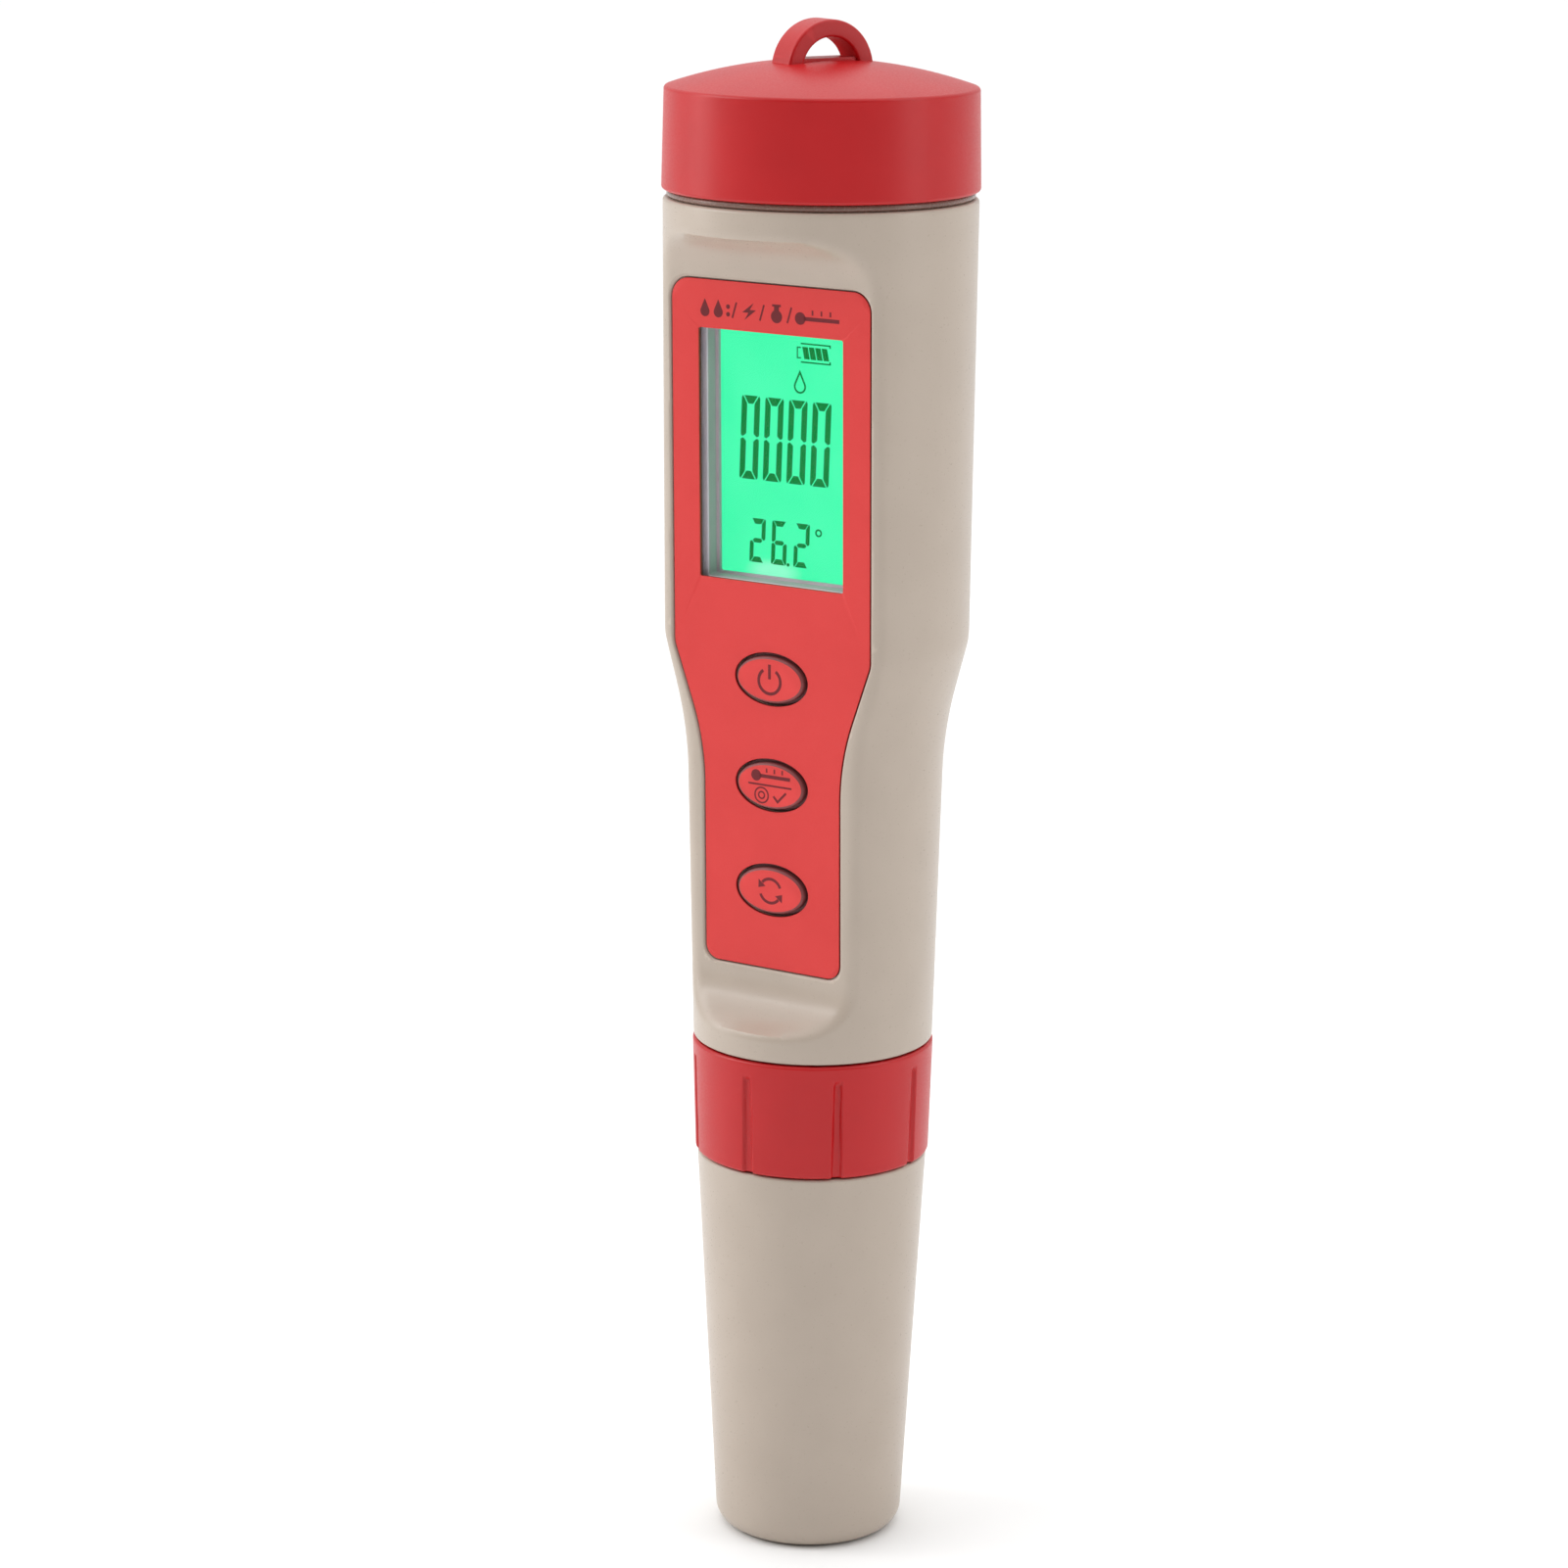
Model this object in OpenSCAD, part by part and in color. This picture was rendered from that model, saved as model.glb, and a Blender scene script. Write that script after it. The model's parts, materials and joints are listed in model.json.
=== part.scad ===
// Pen-shaped digital water tester, standing on its probe cap.
// +Z runs up the pen, the display faces -Y, and the origin is the centre of the
// probe cap's flat base. All sizes are in millimetres.

/* [Outer heights] */
// Height of the beige cap that covers the probe
probe_cap_h = 49.2; // [48:0.2:51]
// Height of the red collar that locks the probe to the barrel
collar_h = 14.3; // [14:0.1:15.5]
// Height of the beige barrel between the two seams
barrel_h = 103.2; // [103:0.2:106]
// Height of the straight side of the battery cap
battery_cap_side_h = 12; // [11.5:0.1:13.5]
// Height of the dome above the battery cap's side
dome_h = 3.25; // [2.8:0.05:3.6]
// Height of the lanyard loop above the dome's crown
loop_h = 4.75; // [4.5:0.05:5.2]

/* [Outer radii] */
// Radius of the probe cap at its base, before the edge is rounded
cap_base_r = 11.52; // [11.4:0.02:11.9]
// Radius of the probe cap at its mouth
cap_mouth_r = 14.2; // [14.1:0.05:14.4]
// Radius of the barrel where it meets the collar
grip_r = 14.75; // [14.6:0.05:15]
// Radius of the barrel just above the shoulder
head_r = 18.47; // [18.3:0.01:18.6]
// Radius of the barrel at its top rim
barrel_top_r = 18.82; // [18.7:0.02:18.95]
// Radius of the battery cap at its bottom edge
battery_cap_r = 19; // [18.9:0.05:19.2]

/* [Front panel] */
// Distance from the pen's axis to the label at the middle of the panel
panel_d = 10.02; // [9.9:0.02:10.3]
// Lean of the panel, further out at the top, in degrees
panel_tilt = 1.15; // [1:0.05:1.3]
// Half width of the label beside the display
label_wide = 13.94; // [13.8:0.02:14]
// Half width of the label beside the keys
label_narrow = 9.65; // [9.3:0.05:9.7]
// Thickness of the label
label_t = 0.45; // [0.35:0.05:0.5]
// Depth of the barrel's flat in front of the label's face
label_sunk = 0.15; // [0.1:0.05:0.25]

/* [Display] */
// Width of the display window
window_w = 20.3; // [20:0.1:20.6]
// Height of the display window
window_h = 30.1; // [29.6:0.1:30.4]
// Depth of the LCD glass behind the label's face
lcd_depth = 3.6; // [3.5:0.1:3.9]

/* [Keys] */
// Spacing of the three oval keys
key_pitch = 13.1; // [12.9:0.1:13.2]
// Width of a key
key_w = 9.5; // [9:0.1:9.6]
// Height of a key
key_h = 5.65; // [5.2:0.05:5.7]
// Gap around a key
key_gap = 0.45; // [0.35:0.05:0.5]
// How far a key travels when it is pressed
key_travel = 0.5; // [0.3:0.05:0.5]

/* [Cells] */
// Diameter of a button cell
cell_d = 11.6; // [11.4:0.1:11.6]
// Height of a button cell
cell_h = 5.4; // [5.3:0.1:5.4]

/* [Hidden] */

BEIGE = [0.78, 0.73, 0.66];
RED = [0.75, 0.15, 0.18];
LABEL_RED = [0.89, 0.29, 0.29];
BLACK = [0.12, 0.12, 0.13];
STEEL = [0.78, 0.78, 0.76];
GOLD = [0.83, 0.67, 0.3];

seam = 0.2;         // gap between parts that meet face to face
fit = 0.06;         // radial clearance of a part that turns or slides in another
snug = 0.02;        // radial clearance of a part that is glued or clipped in place
rest_gap = 0.05;    // gap between parts that rest on each other
loose = 0.1;        // gap round a part that is dropped into its place
through = 1;        // how far a cutting tool reaches past the face it cuts
edge_r = 0.3;       // rounding of moulded edges
round_fn = 96;      // smoothness of round parts

// Levels up the pen
collar_z = probe_cap_h + seam;
barrel_z = collar_z + collar_h + seam;
barrel_top = barrel_z + barrel_h;
gasket_h = 0.9;
battery_cap_z = barrel_top + gasket_h;
rim_z = battery_cap_z + battery_cap_side_h;
crown_z = rim_z + dome_h;
overall_h = crown_z + loop_h;
panel_z = barrel_z + 46.1;

// Barrel
wall = 2.2;
spigot_r = 12.9;
spigot_h = 9.4;
spigot_bore_r = 10.5;
spigot_z = barrel_z - spigot_h;
neck_r = 16.9;
neck_bore_r = 15;
neck_h = 8.5;
neck_top = barrel_top + neck_h;
cavity_floor = barrel_z + 2.3;
cavity_top = barrel_top - 2.5;
shoulder_low = barrel_z + 38.9;
shoulder_high = barrel_z + 50.2;
shoulder_low_r = 15.65;
shoulder_low_fillet = 50;
shoulder_high_fillet = 8;
flat_y = -label_sunk;
pocket_y = label_t;
backing_y = 2.4;     // inner face of the wall behind the panel
scoop_low_r = 6;     // concave end of the flat above the collar
scoop_high_r = 6.8;  // concave end of the flat below the battery cap
scoop_low = -36.6;
scoop_high = 46.8;

// Label outline, in the panel's own plane
label_bottom = -35.9;
label_top = 47.7;
label_low_corner = -8.7;
label_high_corner = 3.35;
label_gap = 0.15;
label_low_fillet = 1.8;
label_waist_fillet = 30;
label_shoulder_fillet = 3;
label_high_fillet = 2.4;

// Display stack, as depths behind the label's face
window_mid = 26.85;
lens_t = 0.95;
lens_rim = 1.8;     // how far the lens reaches under the label on each side
frame_rim = 0.7;    // how far the LCD frame reaches under the label on each side
frame_front = backing_y + loose;
frame_back = 9;
frame_w = 24.4;
frame_h = 35;
glass_w = 23;
glass_h = 33.2;
glass_t = 2;
glass_back = lcd_depth + glass_t;
lcd_view_w = 18.8;
lcd_view_h = 29.7;
guide_h = 26.4;
board_y = 9.05;
board_t = 1.6;
board_back = board_y + board_t;
board_top = 47;
board_bottom = -43.1;
board_step = 4;
board_wide = 13.2;
board_narrow = 9.2;

// Keys and their switches
key_z = [for (i = [0:2]) 0.2 - i * key_pitch];
key_proud = 0.35;
key_flange_y = 2.5;
key_flange_t = 0.8;
key_flange_lip = 1.35;
switch_size = 6;
switch_h = 3.45;
switch_y = board_y - rest_gap - switch_h;
plunger_r = 1.75;
plunger_y = switch_y - 0.65;
plunger_len = 1.7;
stem_r = 1.6;

// Battery compartment
holder_y = 7.6;
holder_bore_r = cell_d / 2 + 0.15;
holder_r = holder_bore_r + 1.15;
flange_z = neck_top - 5.6;
flange_t = 1.6;
flange_top = flange_z + flange_t;
cell_count = 4;
cell_top = flange_top + 0.4;
cells_z = cell_top - cell_count * cell_h;
spring_h = 2.3;
spring_z = cells_z - spring_h - rest_gap;
holder_floor = spring_z - rest_gap;
boss_x = 12.3;
boss_y = 5;
boss_r = 2;
boss_h = 9;
screw_r = 0.85;
screw_head_r = 1.7;
screw_head_h = 0.9;
screw_len = 6.5;
strip_x = -10;
strip_y = -0.2;
strip_w = 3;
strip_t = 0.4;

// Battery cap
cap_bore_r = neck_r + fit;
cap_shell = 2.2;
dome_r = (battery_cap_r * battery_cap_r + dome_h * dome_h) / (2 * dome_h);
dome_centre = crown_z - dome_r;
rim_r = battery_cap_r - 0.27;
contact_z = cell_top + fit;
contact_t = 0.4;
contact_r = 11.3;
stake_r = 1.4;
loop_r = 6;
loop_ring = 2.03;
loop_t = 4;
loop_turn = 66;      // direction that the loop's eye faces, from -Y towards +X
loop_floor = crown_z + 0.25;

// Collar
collar_bore_r = spigot_r + fit;
collar_lip_h = 3;
collar_lip_r = 10.6;
collar_low_r = 14.45;
collar_high_r = 14.86;
groove_count = 8;
groove_w = 1;
groove_depth = 0.5;
groove_top = 1.9;

// Probe
tip_z = 14.5;
guard_r = 8.2;
guard_bore_r = 6.7;
sensor_floor = 23;
land_r = 11.2;
land_z = 40.5;
land_top = collar_z - 1.2;
ring_z = collar_z - 1.1;
ring_t = 0.9;
ring_r = 11.9;
ring_groove_r = 9.9;
flange_r = 12.4;
flange_low = collar_z + collar_lip_h + loose;
flange_high = spigot_z - loose;
plug_r = 9.8;
socket_h = 5.7;
socket_z = cavity_floor - loose - socket_h;
plug_top = socket_z - 0.3;
probe_neck_r = collar_lip_r - fit;
o_ring_section = 1;
o_ring_groove = o_ring_section + 0.05;
cap_ring_depth = 1.05;
plug_ring_depth = 1.4;
cap_ring_z = 45;
plug_ring_z = (flange_high + plug_top) / 2;
socket_bore_r = 0.9;
pin_count = 5;
pin_circle = 5;
pin_r = 0.5;
pin_len = 4.2;
pin_root = 2.9;
contact_tube_r = 0.85;
bulb_y = -2.6;
bulb_r = 3;
bulb_z = 18.6;
stem_tube_r = 2.2;
glass_wall = 0.4;
glass_top = 44;
ec_x = 2.6;
ec_y = 3.4;
ec_r = 0.9;
temp_y = 5.1;
temp_r = 1.1;
junction_x = -4.6;
junction_r = 0.8;
sensor_root = 4.5;

// Probe cap
cap_wall_bore_r = 12.26;
cap_straight_z = 38;
cap_floor = 2.4;
cap_floor_r = 9.6;
cap_edge_r = 2.5;
cap_floor_fillet = 1;
sponge_r = 9.4;
sponge_top = 8.5;

// Direction from a to b, and the signed turn from one heading to another
function heading(a, b) = atan2(b[1] - a[1], b[0] - a[0]);
function turning(from, to) = ((to - from + 540) % 360) - 180;
function along(angle) = [cos(angle), sin(angle)];

// Arc of radius r that rounds corner p between two headings
function corner_arc(p, from, turn, r, steps) =
    let (side = sign(turn))
    let (centre = p - r * tan(abs(turn) / 2) * along(from) + side * r * along(from + 90))
    [for (i = [0:steps]) centre - side * r * along(from + 90 + turn * i / steps)];

// Outline through [x, y, radius] corners
function rounded(v, steps = 6) = [
    for (i = [0:len(v) - 1])
        let (p = v[i], before = v[(i + len(v) - 1) % len(v)], after = v[(i + 1) % len(v)])
        let (from = heading(before, p), turn = turning(from, heading(p, after)))
        each (p[2] == 0 ? [[p[0], p[1]]] : corner_arc([p[0], p[1]], from, turn, p[2], steps))
];

// Points of an ellipse
function oval(w, h, steps = 48) = [
    for (i = [0:steps - 1]) [w / 2 * cos(360 * i / steps), h / 2 * sin(360 * i / steps)]
];

// Height of a dome at a distance from its axis
function dome_z(radius, r) = dome_centre + sqrt(radius * radius - r * r);

// Corners along a dome between two distances from its axis
function dome_arc(radius, from_r, to_r, steps = 10) = [
    for (i = [0:steps])
        let (r = from_r + (to_r - from_r) * i / steps)
        [r, dome_z(radius, r), 0]
];

// Solid of revolution from rounded [radius, height, rounding] corners
module turned(v, steps = 6) {
    rotate_extrude($fn = round_fn)
        polygon(rounded(v, steps));
}

module ring(outer, inner, h) {
    difference() {
        cylinder(r = outer, h = h, $fn = round_fn);
        translate([0, 0, -through])
            cylinder(r = inner, h = h + 2 * through, $fn = round_fn);
    }
}

module o_ring(centre_r, z) {
    translate([0, 0, z])
        rotate_extrude($fn = round_fn)
            translate([centre_r, 0])
                circle(r = o_ring_section, $fn = 32);
}

// The panel's frame: x across, y inwards from the label's face, z up the panel
module on_panel() {
    translate([0, -panel_d, panel_z])
        rotate([panel_tilt, 0, 0])
            children();
}

// Raise an outline in the panel's plane into a plate between two depths
module plate(front, back) {
    translate([0, back, 0])
        rotate([90, 0, 0])
            linear_extrude(back - front)
                children();
}

// Block centred on the panel's middle line between two depths
module block(w, h, front, back, mid_z) {
    translate([-w / 2, front, mid_z - h / 2])
        cube([w, back - front, h]);
}

module label_outline(grow = 0) {
    low = label_narrow + grow;
    wide = label_wide + grow;
    polygon(rounded([
        [-low, label_bottom - grow, label_low_fillet],
        [low, label_bottom - grow, label_low_fillet],
        [low, label_low_corner, label_waist_fillet],
        [wide, label_high_corner, label_shoulder_fillet],
        [wide, label_top + grow, label_high_fillet],
        [-wide, label_top + grow, label_high_fillet],
        [-wide, label_high_corner, label_shoulder_fillet],
        [-low, label_low_corner, label_waist_fillet]
    ], 8));
}

module window_outline(grow = 0) {
    translate([0, window_mid])
        square([window_w + 2 * grow, window_h + 2 * grow], center = true);
}

module key_openings() {
    for (z = key_z)
        translate([0, z])
            polygon(oval(key_w + 2 * key_gap, key_h + 2 * key_gap));
}

// Outer form of the barrel with its two threaded ends, before anything is cut
module barrel_form() {
    turned([
        [0, spigot_z, 0],
        [spigot_r, spigot_z, edge_r],
        [spigot_r, barrel_z, 0],
        [grip_r, barrel_z, edge_r],
        [shoulder_low_r, shoulder_low, shoulder_low_fillet],
        [head_r, shoulder_high, shoulder_high_fillet],
        [barrel_top_r, barrel_top, edge_r],
        [neck_r, barrel_top, 0],
        [neck_r, neck_top, edge_r],
        [0, neck_top, 0]
    ]);
}

// The flat that is cut across the front, with a concave scoop at each end
module flat_cut() {
    reach = 12;
    translate([-barrel_top_r, 0, 0])
        rotate([90, 0, 90])
            linear_extrude(2 * barrel_top_r)
                union() {
                    translate([flat_y - reach, scoop_low])
                        square([reach, scoop_high - scoop_low]);
                    translate([flat_y - scoop_low_r, scoop_low])
                        circle(r = scoop_low_r, $fn = round_fn);
                    translate([flat_y - reach, scoop_low - scoop_low_r])
                        square([reach - scoop_low_r, scoop_low_r]);
                    translate([flat_y - scoop_high_r, scoop_high])
                        circle(r = scoop_high_r, $fn = round_fn);
                    translate([flat_y - reach, scoop_high])
                        square([reach - scoop_high_r, scoop_high_r]);
                }
}

// Hollow that holds the electronics: round, but flat behind the panel
module barrel_cavity() {
    intersection() {
        turned([
            [0, cavity_floor, 0],
            [grip_r - wall, cavity_floor, 0],
            [shoulder_low_r - wall, shoulder_low, shoulder_low_fillet],
            [head_r - wall, shoulder_high, shoulder_high_fillet],
            [barrel_top_r - wall, cavity_top, 0],
            [0, cavity_top, 0]
        ]);
        on_panel()
            translate([-barrel_top_r, backing_y, spigot_z - panel_z])
                cube([2 * barrel_top_r, 2 * barrel_top_r, overall_h]);
    }
}

module board_rails() {
    rail_in = board_wide - 0.6;
    rail_out = 17.2;
    rail_t = 0.8;
    rail_h = 36;
    rail_z = 7;
    for (side = [-1, 1])
        for (y = [board_y - loose - rail_t, board_back + loose])
            translate([side > 0 ? rail_in : -rail_out, y, rail_z])
                cube([rail_out - rail_in, rail_t, rail_h]);
}

module holder_bosses() {
    for (side = [-1, 1])
        translate([side * boss_x, boss_y, flange_z - boss_h])
            difference() {
                cylinder(r = boss_r, h = boss_h, $fn = 32);
                translate([0, 0, boss_h - screw_len])
                    cylinder(r = screw_r + snug, h = screw_len + through, $fn = 32);
            }
}

module barrel() {
    lens_pocket_y = pocket_y + lens_t + loose;
    color(BEIGE)
        union() {
            difference() {
                barrel_form();
                on_panel()
                    flat_cut();
                barrel_cavity();
                translate([0, 0, spigot_z - through])
                    cylinder(r = spigot_bore_r, h = cavity_floor - spigot_z + 2 * through, $fn = round_fn);
                translate([0, 0, cavity_top - through])
                    cylinder(r = neck_bore_r, h = neck_top - cavity_top + 2 * through, $fn = round_fn);
                on_panel() {
                    plate(flat_y - through, pocket_y)
                        label_outline(label_gap);
                    plate(0, lens_pocket_y)
                        window_outline(lens_rim + label_gap);
                    plate(0, backing_y + through)
                        window_outline(frame_rim + loose);
                    plate(0, backing_y + through)
                        key_openings();
                }
            }
            on_panel()
                board_rails();
            holder_bosses();
        }
}

module front_label() {
    color(LABEL_RED)
        on_panel()
            plate(0, label_t - snug)
                difference() {
                    label_outline();
                    window_outline();
                    key_openings();
                }
}

module display_lens() {
    color([0.85, 0.92, 0.92])
        on_panel()
            plate(label_t + snug, label_t + lens_t)
                window_outline(lens_rim);
}

// One oval key with the flange that keeps it in, and the stem that works its switch
module key(i) {
    color(LABEL_RED)
        on_panel()
            translate([0, 0, key_z[i]]) {
                plate(-key_proud, key_flange_y)
                    polygon(oval(key_w, key_h));
                plate(key_flange_y, key_flange_y + key_flange_t)
                    polygon(oval(key_w + 2 * key_flange_lip, key_h + 2 * key_flange_lip));
                translate([0, key_flange_y, 0])
                    rotate([-90, 0, 0])
                        cylinder(r = stem_r, h = plunger_y - rest_gap - key_flange_y, $fn = 32);
            }
}

module power_button() { key(0); }

module temp_cal_button() { key(1); }

module mode_button() { key(2); }

module switch_plunger(i) {
    color(BLACK)
        on_panel()
            translate([0, plunger_y, key_z[i]])
                rotate([-90, 0, 0])
                    cylinder(r = plunger_r, h = plunger_len, $fn = 32);
}

module power_plunger() { switch_plunger(0); }

module temp_cal_plunger() { switch_plunger(1); }

module mode_plunger() { switch_plunger(2); }

module switch_body(i) {
    well = plunger_len - (switch_y - plunger_y) + key_travel + loose;
    color(STEEL)
        on_panel()
            difference() {
                block(switch_size, switch_size, switch_y, switch_y + switch_h, key_z[i]);
                translate([0, switch_y - through, key_z[i]])
                    rotate([-90, 0, 0])
                        cylinder(r = plunger_r + rest_gap, h = well + through, $fn = 32);
            }
}

module power_switch() { switch_body(0); }

module temp_cal_switch() { switch_body(1); }

module mode_switch() { switch_body(2); }

module lcd_frame() {
    collar_front = label_t + lens_t + rest_gap;
    cell_w = glass_w + 2 * loose;
    cell_h = glass_h + 2 * loose;
    color([0.5, 0.5, 0.52])
        on_panel()
            difference() {
                union() {
                    block(frame_w, frame_h, frame_front, frame_back, window_mid);
                    plate(collar_front, frame_front + loose)
                        window_outline(frame_rim);
                }
                block(lcd_view_w, lcd_view_h, 0, frame_back, window_mid);
                block(cell_w, cell_h, lcd_depth, frame_back + through, window_mid);
            }
}

module lcd_glass() {
    color([0.3, 0.9, 0.65])
        on_panel()
            block(glass_w, glass_h, lcd_depth + rest_gap, glass_back, window_mid);
}

module backlight_guide() {
    color([0.93, 0.97, 0.95])
        on_panel()
            block(glass_w - 4 * loose, guide_h, glass_back + loose, frame_back - loose, window_mid);
}

module backlight_led() {
    led_w = 6;
    led_h = 1.6;
    led_front = glass_back + 0.8;
    led_z = window_mid - guide_h / 2 - led_h / 2 - 0.3;
    color([0.9, 0.95, 0.8])
        on_panel()
            block(led_w, led_h, led_front, frame_back - loose, led_z);
}

module zebra_strip() {
    strip_len = 20;
    strip_h = 2;
    zebra_z = window_mid + guide_h / 2 + strip_h / 2 + 0.8;
    color([0.85, 0.55, 0.6])
        on_panel()
            block(strip_len, strip_h, glass_back + rest_gap, frame_back - snug, zebra_z);
}

module circuit_board() {
    corner_r = 1;
    slope = 2;
    color([0.1, 0.4, 0.2])
        on_panel()
            plate(board_y, board_back)
                polygon(rounded([
                    [-board_narrow, board_bottom, corner_r],
                    [board_narrow, board_bottom, corner_r],
                    [board_narrow, board_step, 0],
                    [board_wide, board_step + slope, 0],
                    [board_wide, board_top, corner_r],
                    [-board_wide, board_top, corner_r],
                    [-board_wide, board_step + slope, 0],
                    [-board_narrow, board_step, 0]
                ], 4));
}

// Chip on the back of the board
module chip(w, h, t, mid_z) {
    color(BLACK)
        on_panel()
            block(w, h, board_back + rest_gap, board_back + t, mid_z);
}

module controller_chip() { chip(9, 9, 1.6, 17); }

module amplifier_chip() { chip(5, 4, 1.5, -14); }

module clock_crystal() {
    crystal_x = 7.4;
    crystal_z = 12;
    crystal_r = 1;
    crystal_len = 6;
    color(STEEL)
        on_panel()
            translate([crystal_x, board_back + crystal_r + rest_gap, crystal_z])
                cylinder(r = crystal_r, h = crystal_len, $fn = 32);
}

module battery_holder() {
    floor_t = 1.2;
    slot_gap = 0.2;
    tube_z = holder_floor - floor_t;
    color(BLACK)
        difference() {
            union() {
                translate([0, 0, flange_z])
                    cylinder(r = neck_bore_r - fit, h = flange_t, $fn = round_fn);
                translate([0, holder_y, tube_z])
                    cylinder(r = holder_r, h = flange_z + flange_t / 2 - tube_z, $fn = round_fn);
            }
            translate([0, holder_y, holder_floor])
                cylinder(r = holder_bore_r, h = flange_top - holder_floor + through, $fn = round_fn);
            for (side = [-1, 1])
                translate([side * boss_x, boss_y, flange_z - through])
                    cylinder(r = screw_r + loose, h = flange_t + 2 * through, $fn = 32);
            translate([strip_x - strip_w / 2 - slot_gap, strip_y - slot_gap, flange_z - through])
                cube([strip_w + 2 * slot_gap, strip_t + 2 * slot_gap, flange_t + 2 * through]);
        }
}

module holder_screws() {
    tip_gap = 0.5;
    cross = [2.2, 0.45, 0.8];
    shank_z = flange_z - screw_len + tip_gap;
    color(STEEL)
        for (side = [-1, 1])
            translate([side * boss_x, boss_y, 0]) {
                translate([0, 0, shank_z])
                    cylinder(r = screw_r, h = flange_top + loose - shank_z, $fn = 32);
                difference() {
                    translate([0, 0, flange_top + snug])
                        cylinder(r = screw_head_r, h = screw_head_h, $fn = 32);
                    for (turn = [0, 90])
                        translate([0, 0, flange_top + screw_head_h])
                            rotate([0, 0, turn])
                                cube(cross, center = true);
                }
            }
}

// Button cells with their narrower negative cups facing down
module button_cells() {
    step_h = 1.2;
    step_w = 0.9;
    color(STEEL)
        for (i = [0:cell_count - 1])
            translate([0, holder_y, cells_z + i * cell_h]) {
                translate([0, 0, step_h])
                    cylinder(r = cell_d / 2, h = cell_h - step_h - snug, $fn = round_fn);
                cylinder(r = cell_d / 2 - step_w, h = cell_h / 2, $fn = round_fn);
            }
}

// Coil of wire under the cells, as one tube swept up a helix
module battery_spring() {
    turns = 2;
    per_turn = 20;
    wire_r = 0.3;
    coil_r = 3.6;
    sides = 6;
    rings = turns * per_turn;
    rise = spring_h - 2 * wire_r;
    points = [
        for (i = [0:rings], j = [0:sides - 1])
            let (a = 360 * i / per_turn, b = 360 * j / sides, r = coil_r + wire_r * cos(b))
            [r * cos(a), r * sin(a), wire_r + rise * i / rings + wire_r * sin(b)]
    ];
    walls = [
        for (i = [0:rings - 1], j = [0:sides - 1])
            let (k = (j + 1) % sides)
            [i * sides + j, (i + 1) * sides + j, (i + 1) * sides + k, i * sides + k]
    ];
    start = [for (j = [0:sides - 1]) j];
    end = [for (j = [sides - 1:-1:0]) rings * sides + j];
    color(STEEL)
        translate([0, holder_y, spring_z])
            polyhedron(points = points, faces = concat(walls, [start], [end]), convexity = 6);
}

// Contact strip from the board up through the holder's flange to the cap's plate
module battery_strip() {
    foot_z = flange_z - 16;
    finger = 2.6;
    top_z = cell_top + fit / 2;
    color(GOLD)
        translate([strip_x - strip_w / 2, strip_y, 0]) {
            translate([0, 0, foot_z])
                cube([strip_w, strip_t, top_z - foot_z]);
            translate([0, -finger, top_z - strip_t])
                cube([strip_w, finger + strip_t, strip_t]);
        }
}

module cap_gasket() {
    set_back = 0.45;
    color([0.4, 0.3, 0.27])
        translate([0, 0, barrel_top + snug])
            ring(barrel_top_r - set_back, neck_r + fit, gasket_h - 2 * snug);
}

// D-shaped eye on the dome for a wrist cord
module lanyard_loop() {
    centre_z = overall_h - loop_r;
    base = 0.2;
    rotate([0, 0, loop_turn])
        translate([0, loop_t / 2, centre_z])
            rotate([90, 0, 0])
                linear_extrude(loop_t)
                    difference() {
                        intersection() {
                            circle(r = loop_r, $fn = round_fn);
                            translate([-loop_r, base])
                                square([2 * loop_r, loop_r]);
                        }
                        intersection() {
                            circle(r = loop_r - loop_ring, $fn = round_fn);
                            translate([-loop_r, loop_floor - centre_z])
                                square([2 * loop_r, loop_r]);
                        }
                    }
}

module battery_cap() {
    ceiling_r = cap_bore_r - 1.5;
    bore_top = neck_top + 0.6;
    inner_dome_r = dome_r - cap_shell;
    plate_top = contact_z + contact_t + snug;
    rim_fillet = 0.6;
    rib_t = 1.2;
    inner_rib_r = 5;
    outer_rib_r = contact_r - 0.5;
    stake_z = contact_z - 0.2;
    color(RED)
        union() {
            turned(concat(
                [[battery_cap_r, battery_cap_z, edge_r]],
                [[rim_r, dome_z(dome_r, rim_r), rim_fillet]],
                dome_arc(dome_r, rim_r - 1, 0),
                dome_arc(inner_dome_r, 0, ceiling_r),
                [[cap_bore_r, bore_top, 0]],
                [[cap_bore_r, battery_cap_z, edge_r]]
            ));
            lanyard_loop();
            for (r = [inner_rib_r, outer_rib_r])
                translate([0, 0, plate_top])
                    ring(r, r - rib_t, dome_z(inner_dome_r, r) + cap_shell / 4 - plate_top);
            translate([0, 0, stake_z])
                cylinder(r = stake_r, h = crown_z - cap_shell / 2 - stake_z, $fn = 32);
        }
}

module cap_contact() {
    color(GOLD)
        translate([0, 0, contact_z])
            ring(contact_r, stake_r + snug, contact_t);
}

module probe_socket() {
    color(BLACK)
        difference() {
            translate([0, 0, socket_z])
                cylinder(r = spigot_bore_r - snug, h = socket_h, $fn = round_fn);
            for (i = [0:pin_count - 1])
                rotate([0, 0, 360 * i / pin_count])
                    translate([pin_circle, 0, socket_z - through])
                        cylinder(r = socket_bore_r, h = socket_h + 2 * through, $fn = 32);
        }
}

// Sprung sleeves in the socket that grip the probe's pins
module socket_contacts() {
    color(GOLD)
        for (i = [0:pin_count - 1])
            rotate([0, 0, 360 * i / pin_count])
                translate([pin_circle, 0, socket_z + loose])
                    ring(contact_tube_r, pin_r + rest_gap, socket_h - 2 * loose);
}

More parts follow.
